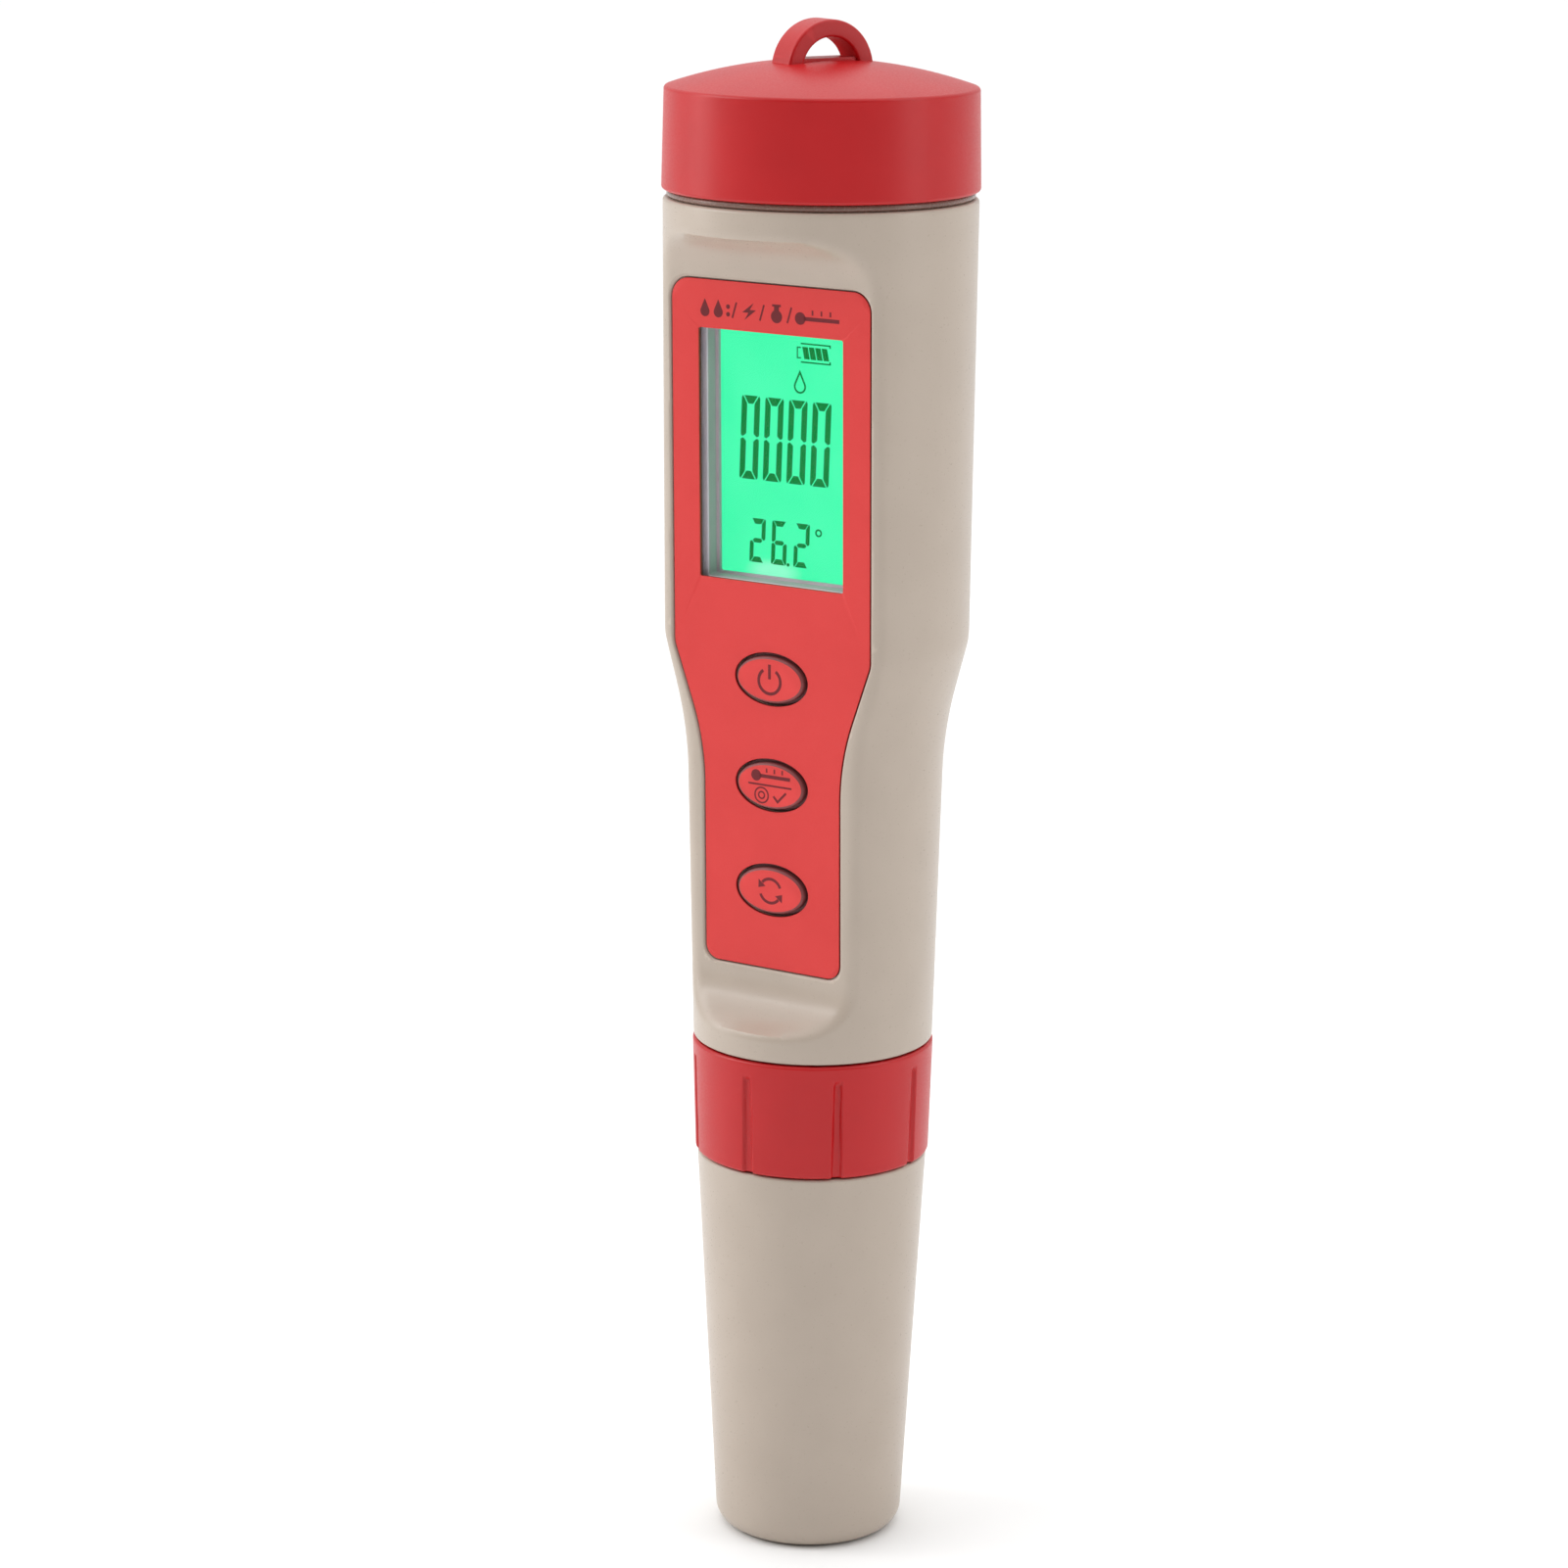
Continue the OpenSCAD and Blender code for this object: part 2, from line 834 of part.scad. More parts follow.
module lock_collar() {
    groove_h = collar_h - groove_top;
    groove_in = collar_low_r - groove_depth;
    color(RED)
        difference() {
            turned([
                [collar_lip_r, collar_z, 0],
                [collar_low_r, collar_z, edge_r],
                [collar_high_r, collar_z + collar_h, edge_r],
                [collar_bore_r, collar_z + collar_h, 0],
                [collar_bore_r, collar_z + collar_lip_h, 0],
                [collar_lip_r, collar_z + collar_lip_h, 0]
            ]);
            for (i = [0:groove_count - 1])
                rotate([0, 0, 360 * i / groove_count])
                    translate([-groove_w / 2, -collar_high_r - through, collar_z - through])
                        cube([groove_w, collar_high_r + through - groove_in, groove_h + through]);
        }
}

module retaining_ring() {
    mouth = 3;
    color(STEEL)
        translate([0, 0, ring_z])
            difference() {
                ring(ring_r, ring_groove_r + snug, ring_t);
                translate([-mouth / 2, 0, -through])
                    cube([mouth, ring_r + through, ring_t + 2 * through]);
            }
}

module probe_body() {
    slot_w = 3.6;
    slot_h = 5.5;
    hole_depth = 5;
    tip_fillet = 0.4;
    cone_h = 4;
    cone_low_fillet = 2;
    cone_high_fillet = 0.5;
    plug_fillet = 0.6;
    groove_top_z = collar_z - 0.15;
    wire_hole_r = 0.5;
    color([0.2, 0.2, 0.22])
        difference() {
            turned([
                [guard_bore_r, tip_z, tip_fillet],
                [guard_r, tip_z, tip_fillet],
                [guard_r, land_z - cone_h, cone_low_fillet],
                [land_r, land_z, cone_high_fillet],
                [land_r, cap_ring_z - o_ring_groove, 0],
                [land_r - cap_ring_depth, cap_ring_z - o_ring_groove, 0],
                [land_r - cap_ring_depth, cap_ring_z + o_ring_groove, 0],
                [land_r, cap_ring_z + o_ring_groove, 0],
                [land_r, land_top, 0],
                [ring_groove_r, land_top, 0],
                [ring_groove_r, groove_top_z, 0],
                [probe_neck_r, groove_top_z, 0],
                [probe_neck_r, flange_low, 0],
                [flange_r, flange_low, 0],
                [flange_r, flange_high, 0],
                [plug_r, flange_high, 0],
                [plug_r, plug_ring_z - o_ring_groove, 0],
                [plug_r - plug_ring_depth, plug_ring_z - o_ring_groove, 0],
                [plug_r - plug_ring_depth, plug_ring_z + o_ring_groove, 0],
                [plug_r, plug_ring_z + o_ring_groove, 0],
                [plug_r, plug_top, plug_fillet],
                [0, plug_top, 0],
                [0, sensor_floor, 0],
                [guard_bore_r, sensor_floor, 0]
            ], 4);
            for (turn = [0, 90])
                rotate([0, 0, turn])
                    translate([-slot_w / 2, -guard_r - through, tip_z - through])
                        cube([slot_w, 2 * (guard_r + through), slot_h + through]);
            translate([0, bulb_y, sensor_floor - through])
                cylinder(r = stem_tube_r + snug, h = glass_top - sensor_floor + through, $fn = 48);
            translate([0, bulb_y, glass_top - through])
                cylinder(r = wire_hole_r, h = plug_top - glass_top + 2 * through, $fn = 32);
            for (side = [-1, 1])
                translate([side * ec_x, ec_y, sensor_floor - through])
                    cylinder(r = ec_r + snug, h = hole_depth + through, $fn = 32);
            translate([0, temp_y, sensor_floor - through])
                cylinder(r = temp_r + snug, h = hole_depth + through, $fn = 32);
            translate([junction_x, 0, sensor_floor - through])
                cylinder(r = junction_r + snug, h = hole_depth + through, $fn = 32);
            for (i = [0:pin_count - 1])
                rotate([0, 0, 360 * i / pin_count])
                    translate([pin_circle, 0, plug_top - pin_root - loose])
                        cylinder(r = pin_r + snug, h = pin_root + loose + through, $fn = 32);
        }
}

module probe_pins() {
    color(GOLD)
        for (i = [0:pin_count - 1])
            rotate([0, 0, 360 * i / pin_count])
                translate([pin_circle, 0, plug_top - pin_root])
                    cylinder(r = pin_r, h = pin_root + pin_len, $fn = 32);
}

module plug_o_ring() {
    color(BLACK)
        o_ring(spigot_bore_r - fit - o_ring_section, plug_ring_z);
}

module cap_o_ring() {
    color(BLACK)
        o_ring(cap_wall_bore_r - fit - o_ring_section, cap_ring_z);
}

// Thin glass bulb blown on the end of a glass tube
module ph_electrode() {
    color([0.8, 0.9, 0.95])
        translate([0, bulb_y, 0])
            difference() {
                union() {
                    translate([0, 0, bulb_z])
                        sphere(r = bulb_r, $fn = 48);
                    translate([0, 0, bulb_z])
                        cylinder(r = stem_tube_r, h = glass_top - loose - bulb_z, $fn = 48);
                }
                translate([0, 0, bulb_z])
                    sphere(r = bulb_r - glass_wall, $fn = 48);
                translate([0, 0, bulb_z])
                    cylinder(r = stem_tube_r - glass_wall, h = glass_top - bulb_z, $fn = 48);
            }
}

module electrode_wire() {
    wire_r = 0.35;
    wire_low = bulb_z - 1;
    wire_high = glass_top + 2;
    color(STEEL)
        translate([0, bulb_y, wire_low])
            cylinder(r = wire_r, h = wire_high - wire_low, $fn = 24);
}

module reference_junction() {
    proud = 1;
    color([0.92, 0.92, 0.88])
        translate([junction_x, 0, sensor_floor - proud])
            cylinder(r = junction_r, h = proud + sensor_root, $fn = 32);
}

module ec_pins() {
    proud = 5;
    color([0.35, 0.35, 0.37])
        for (side = [-1, 1])
            translate([side * ec_x, ec_y, sensor_floor - proud])
                cylinder(r = ec_r, h = proud + sensor_root, $fn = 32);
}

// Steel tube with a round end, which holds the thermistor
module temperature_sensor() {
    proud = 4;
    color(STEEL)
        translate([0, temp_y, sensor_floor - proud]) {
            cylinder(r = temp_r, h = proud + sensor_root, $fn = 32);
            sphere(r = temp_r, $fn = 32);
        }
}

module probe_cap() {
    color(BEIGE)
        turned([
            [0, 0, 0],
            [cap_base_r, 0, cap_edge_r],
            [cap_mouth_r, probe_cap_h, edge_r],
            [cap_wall_bore_r, probe_cap_h, edge_r],
            [cap_wall_bore_r, cap_straight_z, 0],
            [cap_floor_r, cap_floor, cap_floor_fillet],
            [0, cap_floor, 0]
        ], 8);
}

module storage_sponge() {
    sponge_z = cap_floor + loose;
    color([0.9, 0.85, 0.5])
        turned([
            [0, sponge_z, 0],
            [sponge_r, sponge_z, 1.2 * cap_floor_fillet],
            [sponge_r, sponge_top, edge_r],
            [0, sponge_top, 0]
        ]);
}

barrel();
front_label();
display_lens();
power_button();
temp_cal_button();
mode_button();
power_plunger();
temp_cal_plunger();
mode_plunger();
power_switch();
temp_cal_switch();
mode_switch();
lcd_glass();
lcd_frame();
backlight_guide();
backlight_led();
zebra_strip();
circuit_board();
controller_chip();
amplifier_chip();
clock_crystal();
battery_holder();
holder_screws();
button_cells();
battery_spring();
battery_strip();
cap_gasket();
battery_cap();
cap_contact();
probe_socket();
socket_contacts();
lock_collar();
retaining_ring();
probe_body();
probe_pins();
plug_o_ring();
ph_electrode();
electrode_wire();
reference_junction();
ec_pins();
temperature_sensor();
cap_o_ring();
probe_cap();
storage_sponge();
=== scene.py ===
import json
import math

import bmesh
import bpy
import numpy as np
from mathutils import Matrix, Vector, noise

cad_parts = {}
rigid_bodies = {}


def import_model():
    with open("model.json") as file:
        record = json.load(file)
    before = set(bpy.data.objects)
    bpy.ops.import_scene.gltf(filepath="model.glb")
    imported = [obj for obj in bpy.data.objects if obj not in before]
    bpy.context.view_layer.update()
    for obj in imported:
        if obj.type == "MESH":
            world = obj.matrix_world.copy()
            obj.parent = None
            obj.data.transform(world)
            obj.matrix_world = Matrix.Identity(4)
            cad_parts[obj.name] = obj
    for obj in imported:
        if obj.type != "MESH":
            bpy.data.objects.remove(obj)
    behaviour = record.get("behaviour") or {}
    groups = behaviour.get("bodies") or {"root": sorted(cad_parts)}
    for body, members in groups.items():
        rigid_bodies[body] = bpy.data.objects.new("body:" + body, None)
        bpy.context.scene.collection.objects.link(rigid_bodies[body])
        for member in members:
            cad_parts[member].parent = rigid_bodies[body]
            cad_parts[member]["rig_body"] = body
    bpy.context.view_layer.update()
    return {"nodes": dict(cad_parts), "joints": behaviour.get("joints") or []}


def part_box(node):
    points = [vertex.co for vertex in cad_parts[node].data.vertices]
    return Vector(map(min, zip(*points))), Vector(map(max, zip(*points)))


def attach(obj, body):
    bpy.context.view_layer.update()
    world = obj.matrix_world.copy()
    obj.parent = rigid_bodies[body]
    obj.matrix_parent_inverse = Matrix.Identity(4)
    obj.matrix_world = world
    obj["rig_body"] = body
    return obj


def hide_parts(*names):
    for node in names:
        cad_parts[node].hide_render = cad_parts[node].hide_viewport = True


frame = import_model()

# All sizes below are in millimetres, in the frame's own axes.
MM = 0.001
SHARP = math.radians(32)
ROUND_STEPS = 180
TURN = 2 * math.pi

nodes = frame["nodes"]
joints = {joint["name"]: joint for joint in frame["joints"]}


def span(node):
    """Lowest and highest corner of a CAD node, in millimetres."""
    low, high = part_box(node)
    return low / MM, high / MM


# ------------------------------------------------------------------ levels and radii
SEAM = 0.2
CAP_FOOT, CAP_MOUTH = (corner.z for corner in span("probe_cap"))
COLLAR_LOW, COLLAR_HIGH = (corner.z for corner in span("lock_collar"))
GASKET_LOW, GASKET_HIGH = (corner.z for corner in span("cap_gasket"))
SPIGOT_LOW, NECK_HIGH = (corner.z for corner in span("barrel"))
BATTERY_CAP_LOW, LOOP_HIGH = (corner.z for corner in span("battery_cap"))
BARREL_LOW = COLLAR_HIGH + SEAM
BARREL_HIGH = GASKET_LOW - 0.02
BARREL_R = span("barrel")[1].x
BATTERY_CAP_R = 19.0
GASKET_R = span("cap_gasket")[1].x
SPIGOT_R = 12.9
SPIGOT_BORE_R = 10.5
NECK_R = 16.9
NECK_BORE_R = 15.0
WALL = 2.2

# ------------------------------------------------------------------ the front panel's frame
# x runs across, y inwards from the label's face, z up the panel from PANEL.translation.
LABEL_T = 0.43
LABEL_BOTTOM = -35.9
TILT = math.asin(joints["power_press"]["axis"][2])
label_low, label_high = span("front_label")
LABEL_TOP = (label_high.z - label_low.z - LABEL_T * math.sin(TILT)) / math.cos(TILT) + LABEL_BOTTOM
PANEL_D = -label_low.y - LABEL_TOP * math.sin(TILT)
PANEL_Z = label_low.z - LABEL_BOTTOM * math.cos(TILT)
PANEL = Matrix.Translation((0, -PANEL_D, PANEL_Z)) @ Matrix.Rotation(TILT, 4, "X")
FLAT_Y = -0.15
POCKET_Y = 0.45
LENS_BACK = 1.4
BACKING_Y = 2.4
WINDOW = (20.3, 30.1)
WINDOW_MID = 26.85
KEY = (9.5, 5.65)
KEY_GAP = 0.45
KEY_PITCH = 13.1
KEY_TOP_Z = 0.2
LCD_Y = 3.6


def key_spot(i):
    """Middle of a key on the panel, counted from the top."""
    return (0, KEY_TOP_Z - i * KEY_PITCH)


# ------------------------------------------------------------------ outlines
def rounded(corners, steps=8, closed=True):
    """Points through (x, y, radius) corners, with an arc of that radius at each."""
    points = []
    for i, (x, y, radius) in enumerate(corners):
        here = Vector((x, y))
        if radius == 0 or (not closed and i in (0, len(corners) - 1)):
            points.append((x, y))
            continue
        before = (Vector(corners[i - 1][:2]) - here).normalized()
        after = (Vector(corners[(i + 1) % len(corners)][:2]) - here).normalized()
        half = before.angle(after) / 2
        centre = here + (before + after).normalized() * radius / math.sin(half)
        reach = radius / math.tan(half)
        start = (here + before * reach - centre).normalized()
        end = (here + after * reach - centre).normalized()
        points += [tuple(centre + start.slerp(end, k / steps) * radius) for k in range(steps + 1)]
    return points


def refine(points, step):
    """The same open line with no two points further apart than step."""
    finer = [points[0]]
    for (ax, ay), (bx, by) in zip(points, points[1:]):
        count = max(1, math.ceil(math.hypot(bx - ax, by - ay) / step))
        finer += [(ax + (bx - ax) * k / count, ay + (by - ay) * k / count) for k in range(1, count + 1)]
    return finer


def oval(width, height, at=(0, 0), count=72):
    return [
        (at[0] + width / 2 * math.cos(TURN * i / count), at[1] + height / 2 * math.sin(TURN * i / count))
        for i in range(count)
    ]


def rectangle(width, height, at=(0, 0), corner=0.3):
    x, y = width / 2, height / 2
    corners = [(-x, -y), (x, -y), (x, y), (-x, y)]
    return rounded([(at[0] + cx, at[1] + cy, corner) for cx, cy in corners], steps=5)


def label_outline():
    foot_half, head_half = 9.65, 13.94
    waist_z, shoulder_z = -8.7, 3.35
    half = [(foot_half, LABEL_BOTTOM, 1.8), (foot_half, waist_z, 30), (head_half, shoulder_z, 3),
            (head_half, LABEL_TOP, 2.4)]
    return rounded(half + [(-x, y, radius) for x, y, radius in reversed(half)], steps=14)


def offset(loop, grow):
    """The closed outline moved outwards by grow, whichever way round it runs."""
    points = np.array(loop, float)
    into, out_of = points - np.roll(points, 1, 0), np.roll(points, -1, 0) - points
    first, second = (
        np.column_stack((edge[:, 1], -edge[:, 0])) / np.linalg.norm(edge, axis=1)[:, None]
        for edge in (into, out_of)
    )
    mitre = first + second
    mitre /= (mitre * first).sum(1)[:, None]
    following = np.roll(points, -1, 0)
    area = (points[:, 0] * following[:, 1] - following[:, 0] * points[:, 1]).sum()
    return points + mitre * grow * np.sign(area)


def stroke(points, width, closed=False):
    """Edge loops of a line of that width."""
    line = np.array(points, float)
    if closed:
        return [offset(line, width / 2), offset(line, -width / 2)]
    run = np.diff(line, axis=0)
    side = np.column_stack((run[:, 1], -run[:, 0])) / np.linalg.norm(run, axis=1)[:, None]
    before, after = np.vstack((side[:1], side)), np.vstack((side, side[-1:]))
    mitre = before + after
    mitre /= (mitre * before).sum(1)[:, None]
    return [np.vstack((line + mitre * width / 2, (line - mitre * width / 2)[::-1]))]


def arc(centre, radius, start, end, count=24):
    """Points along an arc between two angles in degrees."""
    angles = np.radians(np.linspace(start, end, count + 1))
    return [(centre[0] + radius * math.cos(a), centre[1] + radius * math.sin(a)) for a in angles]


# ------------------------------------------------------------------ meshes
def finished(name, mesh_in_mm):
    """An object from a bmesh in millimetres, with its normals outwards and its sharp edges sharp."""
    bmesh.ops.recalc_face_normals(mesh_in_mm, faces=mesh_in_mm.faces)
    bmesh.ops.scale(mesh_in_mm, vec=(MM, MM, MM), verts=mesh_in_mm.verts)
    mesh = bpy.data.meshes.new(name)
    mesh_in_mm.to_mesh(mesh)
    mesh_in_mm.free()
    mesh.shade_smooth()
    mesh.set_sharp_from_angle(angle=SHARP)
    piece = bpy.data.objects.new(name, mesh)
    bpy.context.scene.collection.objects.link(piece)
    return piece


def skin(name, rings, loop=False):
    """Mesh through rings of points. One point alone closes an end; loop joins the last ring to the first."""
    starts = np.cumsum([0] + [len(ring) for ring in rings])
    faces = []
    joined = list(zip(range(len(rings)), range(1, len(rings))))
    if loop:
        joined.append((len(rings) - 1, 0))
    for a, b in joined:
        size_a, size_b = len(rings[a]), len(rings[b])
        count = max(size_a, size_b)
        for i in range(count):
            j = (i + 1) % count
            corners = (
                starts[a] + i % size_a, starts[a] + j % size_a,
                starts[b] + j % size_b, starts[b] + i % size_b,
            )
            faces.append(list(dict.fromkeys(int(corner) for corner in corners)))
    mesh = bpy.data.meshes.new(name)
    mesh.from_pydata([tuple(point) for ring in rings for point in ring], [], faces)
    built = bmesh.new()
    built.from_mesh(mesh)
    bpy.data.meshes.remove(mesh)
    return finished(name, built)


def ring(radius, height, angles):
    """Points round the axis, with angle 0 on -Y and 90 degrees on +X. The radius may differ by angle."""
    radius = np.broadcast_to(radius, angles.shape)
    return np.column_stack((radius * np.sin(angles), -radius * np.cos(angles), np.full(angles.shape, height)))


def lathe(name, profile, count=ROUND_STEPS):
    """Solid of revolution. The profile is closed, or starts and ends on the axis."""
    angles = np.linspace(0, TURN, count, endpoint=False)
    rings = [np.array([(0, 0, z)]) if r < 1e-6 else ring(r, z, angles) for r, z in profile]
    return skin(name, rings, loop=len(rings[0]) > 1)


def add_plate(built, loops, layers):
    """Adds a plate in the panel's frame: its edge, then its holes. Layers are (inset, depth)."""
    ends = []
    for number, loop in enumerate(loops):
        rows = []
        for inset, depth in layers:
            points = offset(loop, inset if number else -inset)
            rows.append([built.verts.new(PANEL @ Vector((x, depth, z))) for x, z in points])
        for near, far in zip(rows, rows[1:]):
            for i in range(len(near)):
                built.faces.new((near[i - 1], near[i], far[i], far[i - 1]))
        ends.append((rows[0], rows[-1]))
    for side in (0, 1):
        rims = [end[side] for end in ends]
        if len(rims) == 1:
            built.faces.new(rims[0])
            continue
        edges = [built.edges.get((rim[i - 1], rim[i])) for rim in rims for i in range(len(rim))]
        bmesh.ops.triangle_fill(built, edges=edges, use_beauty=True)


def plate(name, shapes, layers):
    """One piece made of plates with the same layers. Each shape is a list of loops."""
    built = bmesh.new()
    for loops in shapes:
        add_plate(built, loops, layers)
    return finished(name, built)


def combine(target, tool, operation):
    """Applies a boolean of two closed meshes and removes the tool."""
    modifier = target.modifiers.new("combine", "BOOLEAN")
    modifier.solver = "MANIFOLD"
    modifier.operation = operation
    modifier.object = tool
    bpy.context.view_layer.update()
    graph = bpy.context.evaluated_depsgraph_get()
    result = bpy.data.meshes.new_from_object(target.evaluated_get(graph))
    target.modifiers.clear()
    target.data = result
    result.shade_smooth()
    result.set_sharp_from_angle(angle=SHARP)
    bpy.data.objects.remove(tool)


def level_shading(piece):
    """Large flats keep their own normals, so that small bevels beside them don't tint them."""
    modifier = piece.modifiers.new("level_shading", "WEIGHTED_NORMAL")
    modifier.keep_sharp = True


def stand_in(piece, node, *materials):
    """The piece takes the place and the body of a CAD node, which it hides, and the given materials."""
    level_shading(piece)
    piece.data.materials.clear()
    for material in materials:
        piece.data.materials.append(material)
    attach(piece, nodes[node]["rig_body"])
    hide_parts(node)
    return piece


def added(piece, node, material):
    """The piece is printed on or set in a node, and moves with its body."""
    piece.data.materials.append(material)
    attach(piece, nodes[node]["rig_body"])
    return piece


def paint_faces(piece, test, number):
    """Gives the faces where test(centre, normal) passes the piece's material of that number."""
    to_panel = PANEL.inverted()
    turn = to_panel.to_3x3()
    for face in piece.data.polygons:
        if test(to_panel @ (face.center / MM), turn @ face.normal):
            face.material_index = number


# ------------------------------------------------------------------ materials
def linear(red, green, blue):
    """An sRGB colour, 0 to 255, as Blender's linear colour."""
    def channel(value):
        value /= 255
        return value / 12.92 if value <= 0.04045 else ((value + 0.055) / 1.055) ** 2.4
    return (channel(red), channel(green), channel(blue), 1.0)


class Finish:
    """A procedural material built round one Principled shader, in object coordinates."""

    def __init__(self, name, **sockets):
        self.material = bpy.data.materials.new(name)
        self.material.use_nodes = True
        self.tree = self.material.node_tree
        self.shader = self.tree.nodes["Principled BSDF"]
        for socket, value in sockets.items():
            self.shader.inputs[socket.replace("_", " ")].default_value = value
        self.place = self.tree.nodes.new("ShaderNodeTexCoord").outputs["Object"]

    def node(self, kind, **values):
        made = self.tree.nodes.new(kind)
        for key, value in values.items():
            setattr(made, key, value)
        return made

    def link(self, output, target):
        self.tree.links.new(output, target)

    def stretched(self, factors):
        """Object coordinates scaled along each axis, for brushed or drawn surfaces."""
        mapping = self.node("ShaderNodeMapping")
        mapping.inputs["Scale"].default_value = factors
        self.link(self.place, mapping.inputs["Vector"])
        return mapping.outputs["Vector"]

    def noise(self, size, detail=2.0, place=None):
        """Noise whose features are about size millimetres."""
        made = self.node("ShaderNodeTexNoise")
        made.inputs["Scale"].default_value = 1 / (size * MM)
        made.inputs["Detail"].default_value = detail
        self.link(place or self.place, made.inputs["Vector"])
        return made.outputs["Fac"]

    def spread(self, value, low, high, start=0.3, end=0.7):
        """Maps a value between start and end onto low to high."""
        made = self.node("ShaderNodeMapRange")
        for socket, number in zip(("From Min", "From Max", "To Min", "To Max"), (start, end, low, high)):
            made.inputs[socket].default_value = number
        self.link(value, made.inputs["Value"])
        return made.outputs["Result"]

    def mix(self, share, first, second):
        """Colour between first and second. Each is a colour or an output."""
        made = self.node("ShaderNodeMix", data_type="RGBA")
        self.link(share, made.inputs["Factor"])
        for socket, value in zip((6, 7), (first, second)):
            if isinstance(value, tuple):
                made.inputs[socket].default_value = value
            else:
                self.link(value, made.inputs[socket])
        return made.outputs[2]

    def bump(self, height, depth):
        """Surface relief of depth millimetres."""
        made = self.node("ShaderNodeBump")
        made.inputs["Distance"].default_value = depth * MM
        self.link(height, made.inputs["Height"])
        self.link(made.outputs["Normal"], self.shader.inputs["Normal"])

    def worn(self, start=0.53, end=0.62):
        """Share of wear: 0 on flats, 1 on crisp outer edges."""
        return self.spread(self.node("ShaderNodeNewGeometry").outputs["Pointiness"], 0, 1, start, end)


def plastic(name, colour, shade, roughness, grain=0.3, depth=0.004, wear=0.35, edge=None, patch=7, **sockets):
    """Moulded plastic: soft colour patches, fine grain in gloss and relief, and slightly rubbed edges."""
    finish = Finish(name, **sockets)
    patches = finish.spread(finish.noise(patch, 3), 0, 1, 0.35, 0.65)
    body = finish.mix(patches, colour, shade)
    rubbed = edge or tuple(min(1, 1.35 * channel + 0.02) for channel in colour[:3]) + (1.0,)
    wear_share = finish.worn()
    strength = finish.spread(wear_share, 0, wear, 0, 1)
    finish.link(finish.mix(strength, body, rubbed), finish.shader.inputs["Base Color"])
    fine = finish.noise(grain, 2)
    finish.link(finish.spread(fine, roughness - 0.05, roughness + 0.06), finish.shader.inputs["Roughness"])
    finish.bump(fine, depth)
    return finish.material


def metal(name, colour, roughness, along=(1, 1, 0.08), **sockets):
    """Metal with drawn marks along one axis and a few dull patches."""
    finish = Finish(name, Metallic=1.0, **sockets)
    marks = finish.noise(0.25, 3, finish.stretched(along))
    dull = finish.spread(finish.noise(2.5, 3), 0, 1, 0.4, 0.7)
    darker = tuple(0.78 * channel for channel in colour[:3]) + (1.0,)
    finish.link(finish.mix(dull, colour, darker), finish.shader.inputs["Base Color"])
    finish.link(finish.spread(marks, roughness - 0.08, roughness + 0.14), finish.shader.inputs["Roughness"])
    finish.bump(marks, 0.003)
    return finish.material


def clear(name, tint, roughness, index, **sockets):
    """Clear glass or plastic with faint smears in its gloss."""
    finish = Finish(name, Base_Color=tint, Transmission_Weight=1.0, IOR=index, **sockets)
    smears = finish.noise(3, 4, finish.stretched((1, 1, 0.4)))
    finish.link(finish.spread(smears, roughness, roughness + 0.06), finish.shader.inputs["Roughness"])
    return finish.material


def lens_film():
    """Clear lens: nearly all light passes, and the rest is a faint sharp reflection with smears in it."""
    finish = Finish("lens_acrylic", Base_Color=(0.9, 0.9, 0.9, 1), Metallic=1.0, Alpha=0.006)
    smears = finish.noise(4, 4, finish.stretched((1, 1, 0.4)))
    finish.link(finish.spread(smears, 0.05, 0.14), finish.shader.inputs["Roughness"])
    return finish.material


def display_light():
    """The lit face of the LCD: even green, brighter where the LED sits below it."""
    finish = Finish("lcd_backlit", Base_Color=(0, 0.03, 0.015, 1), Roughness=0.3, Emission_Strength=0.97,
                    Specular_IOR_Level=0.1)
    led_low, led_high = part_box("backlight_led")
    flatten = 2.6
    source = led_low.x + 1.0 * MM, led_low.y - 1.8 * MM, flatten * (led_high.z - 0.9 * MM)
    away = finish.node("ShaderNodeVectorMath", operation="DISTANCE")
    away.inputs[1].default_value = source
    finish.link(finish.stretched((1, 1, flatten)), away.inputs[0])
    glow = finish.spread(away.outputs["Value"], 0.62, 0, 2.1 * MM, 4.4 * MM)
    cells = finish.spread(finish.noise(9, 2), 0, 1)
    even = finish.mix(cells, linear(56, 250, 172), linear(70, 255, 179))
    finish.link(finish.mix(glow, even, linear(168, 255, 220)), finish.shader.inputs["Emission Color"])
    return finish.material


def foam():
    """Open-cell sponge: painted shade darkens each pore towards its middle, and a bump dents the pores in."""
    finish = Finish("sponge_foam", Roughness=0.95)
    pores = finish.node("ShaderNodeTexVoronoi")
    pores.inputs["Scale"].default_value = 1 / (0.9 * MM)
    finish.link(finish.place, pores.inputs["Vector"])
    # Painted shade: the colour runs from dark in the middle of each pore to the pale foam of the walls
    # between.
    shade_to_wall = finish.spread(pores.outputs["Distance"], 0, 1, 0.1, 0.45)
    colour = finish.mix(shade_to_wall, linear(120, 100, 52), linear(226, 205, 128))
    finish.link(colour, finish.shader.inputs["Base Color"])
    finish.bump(pores.outputs["Distance"], 0.25)
    return finish.material


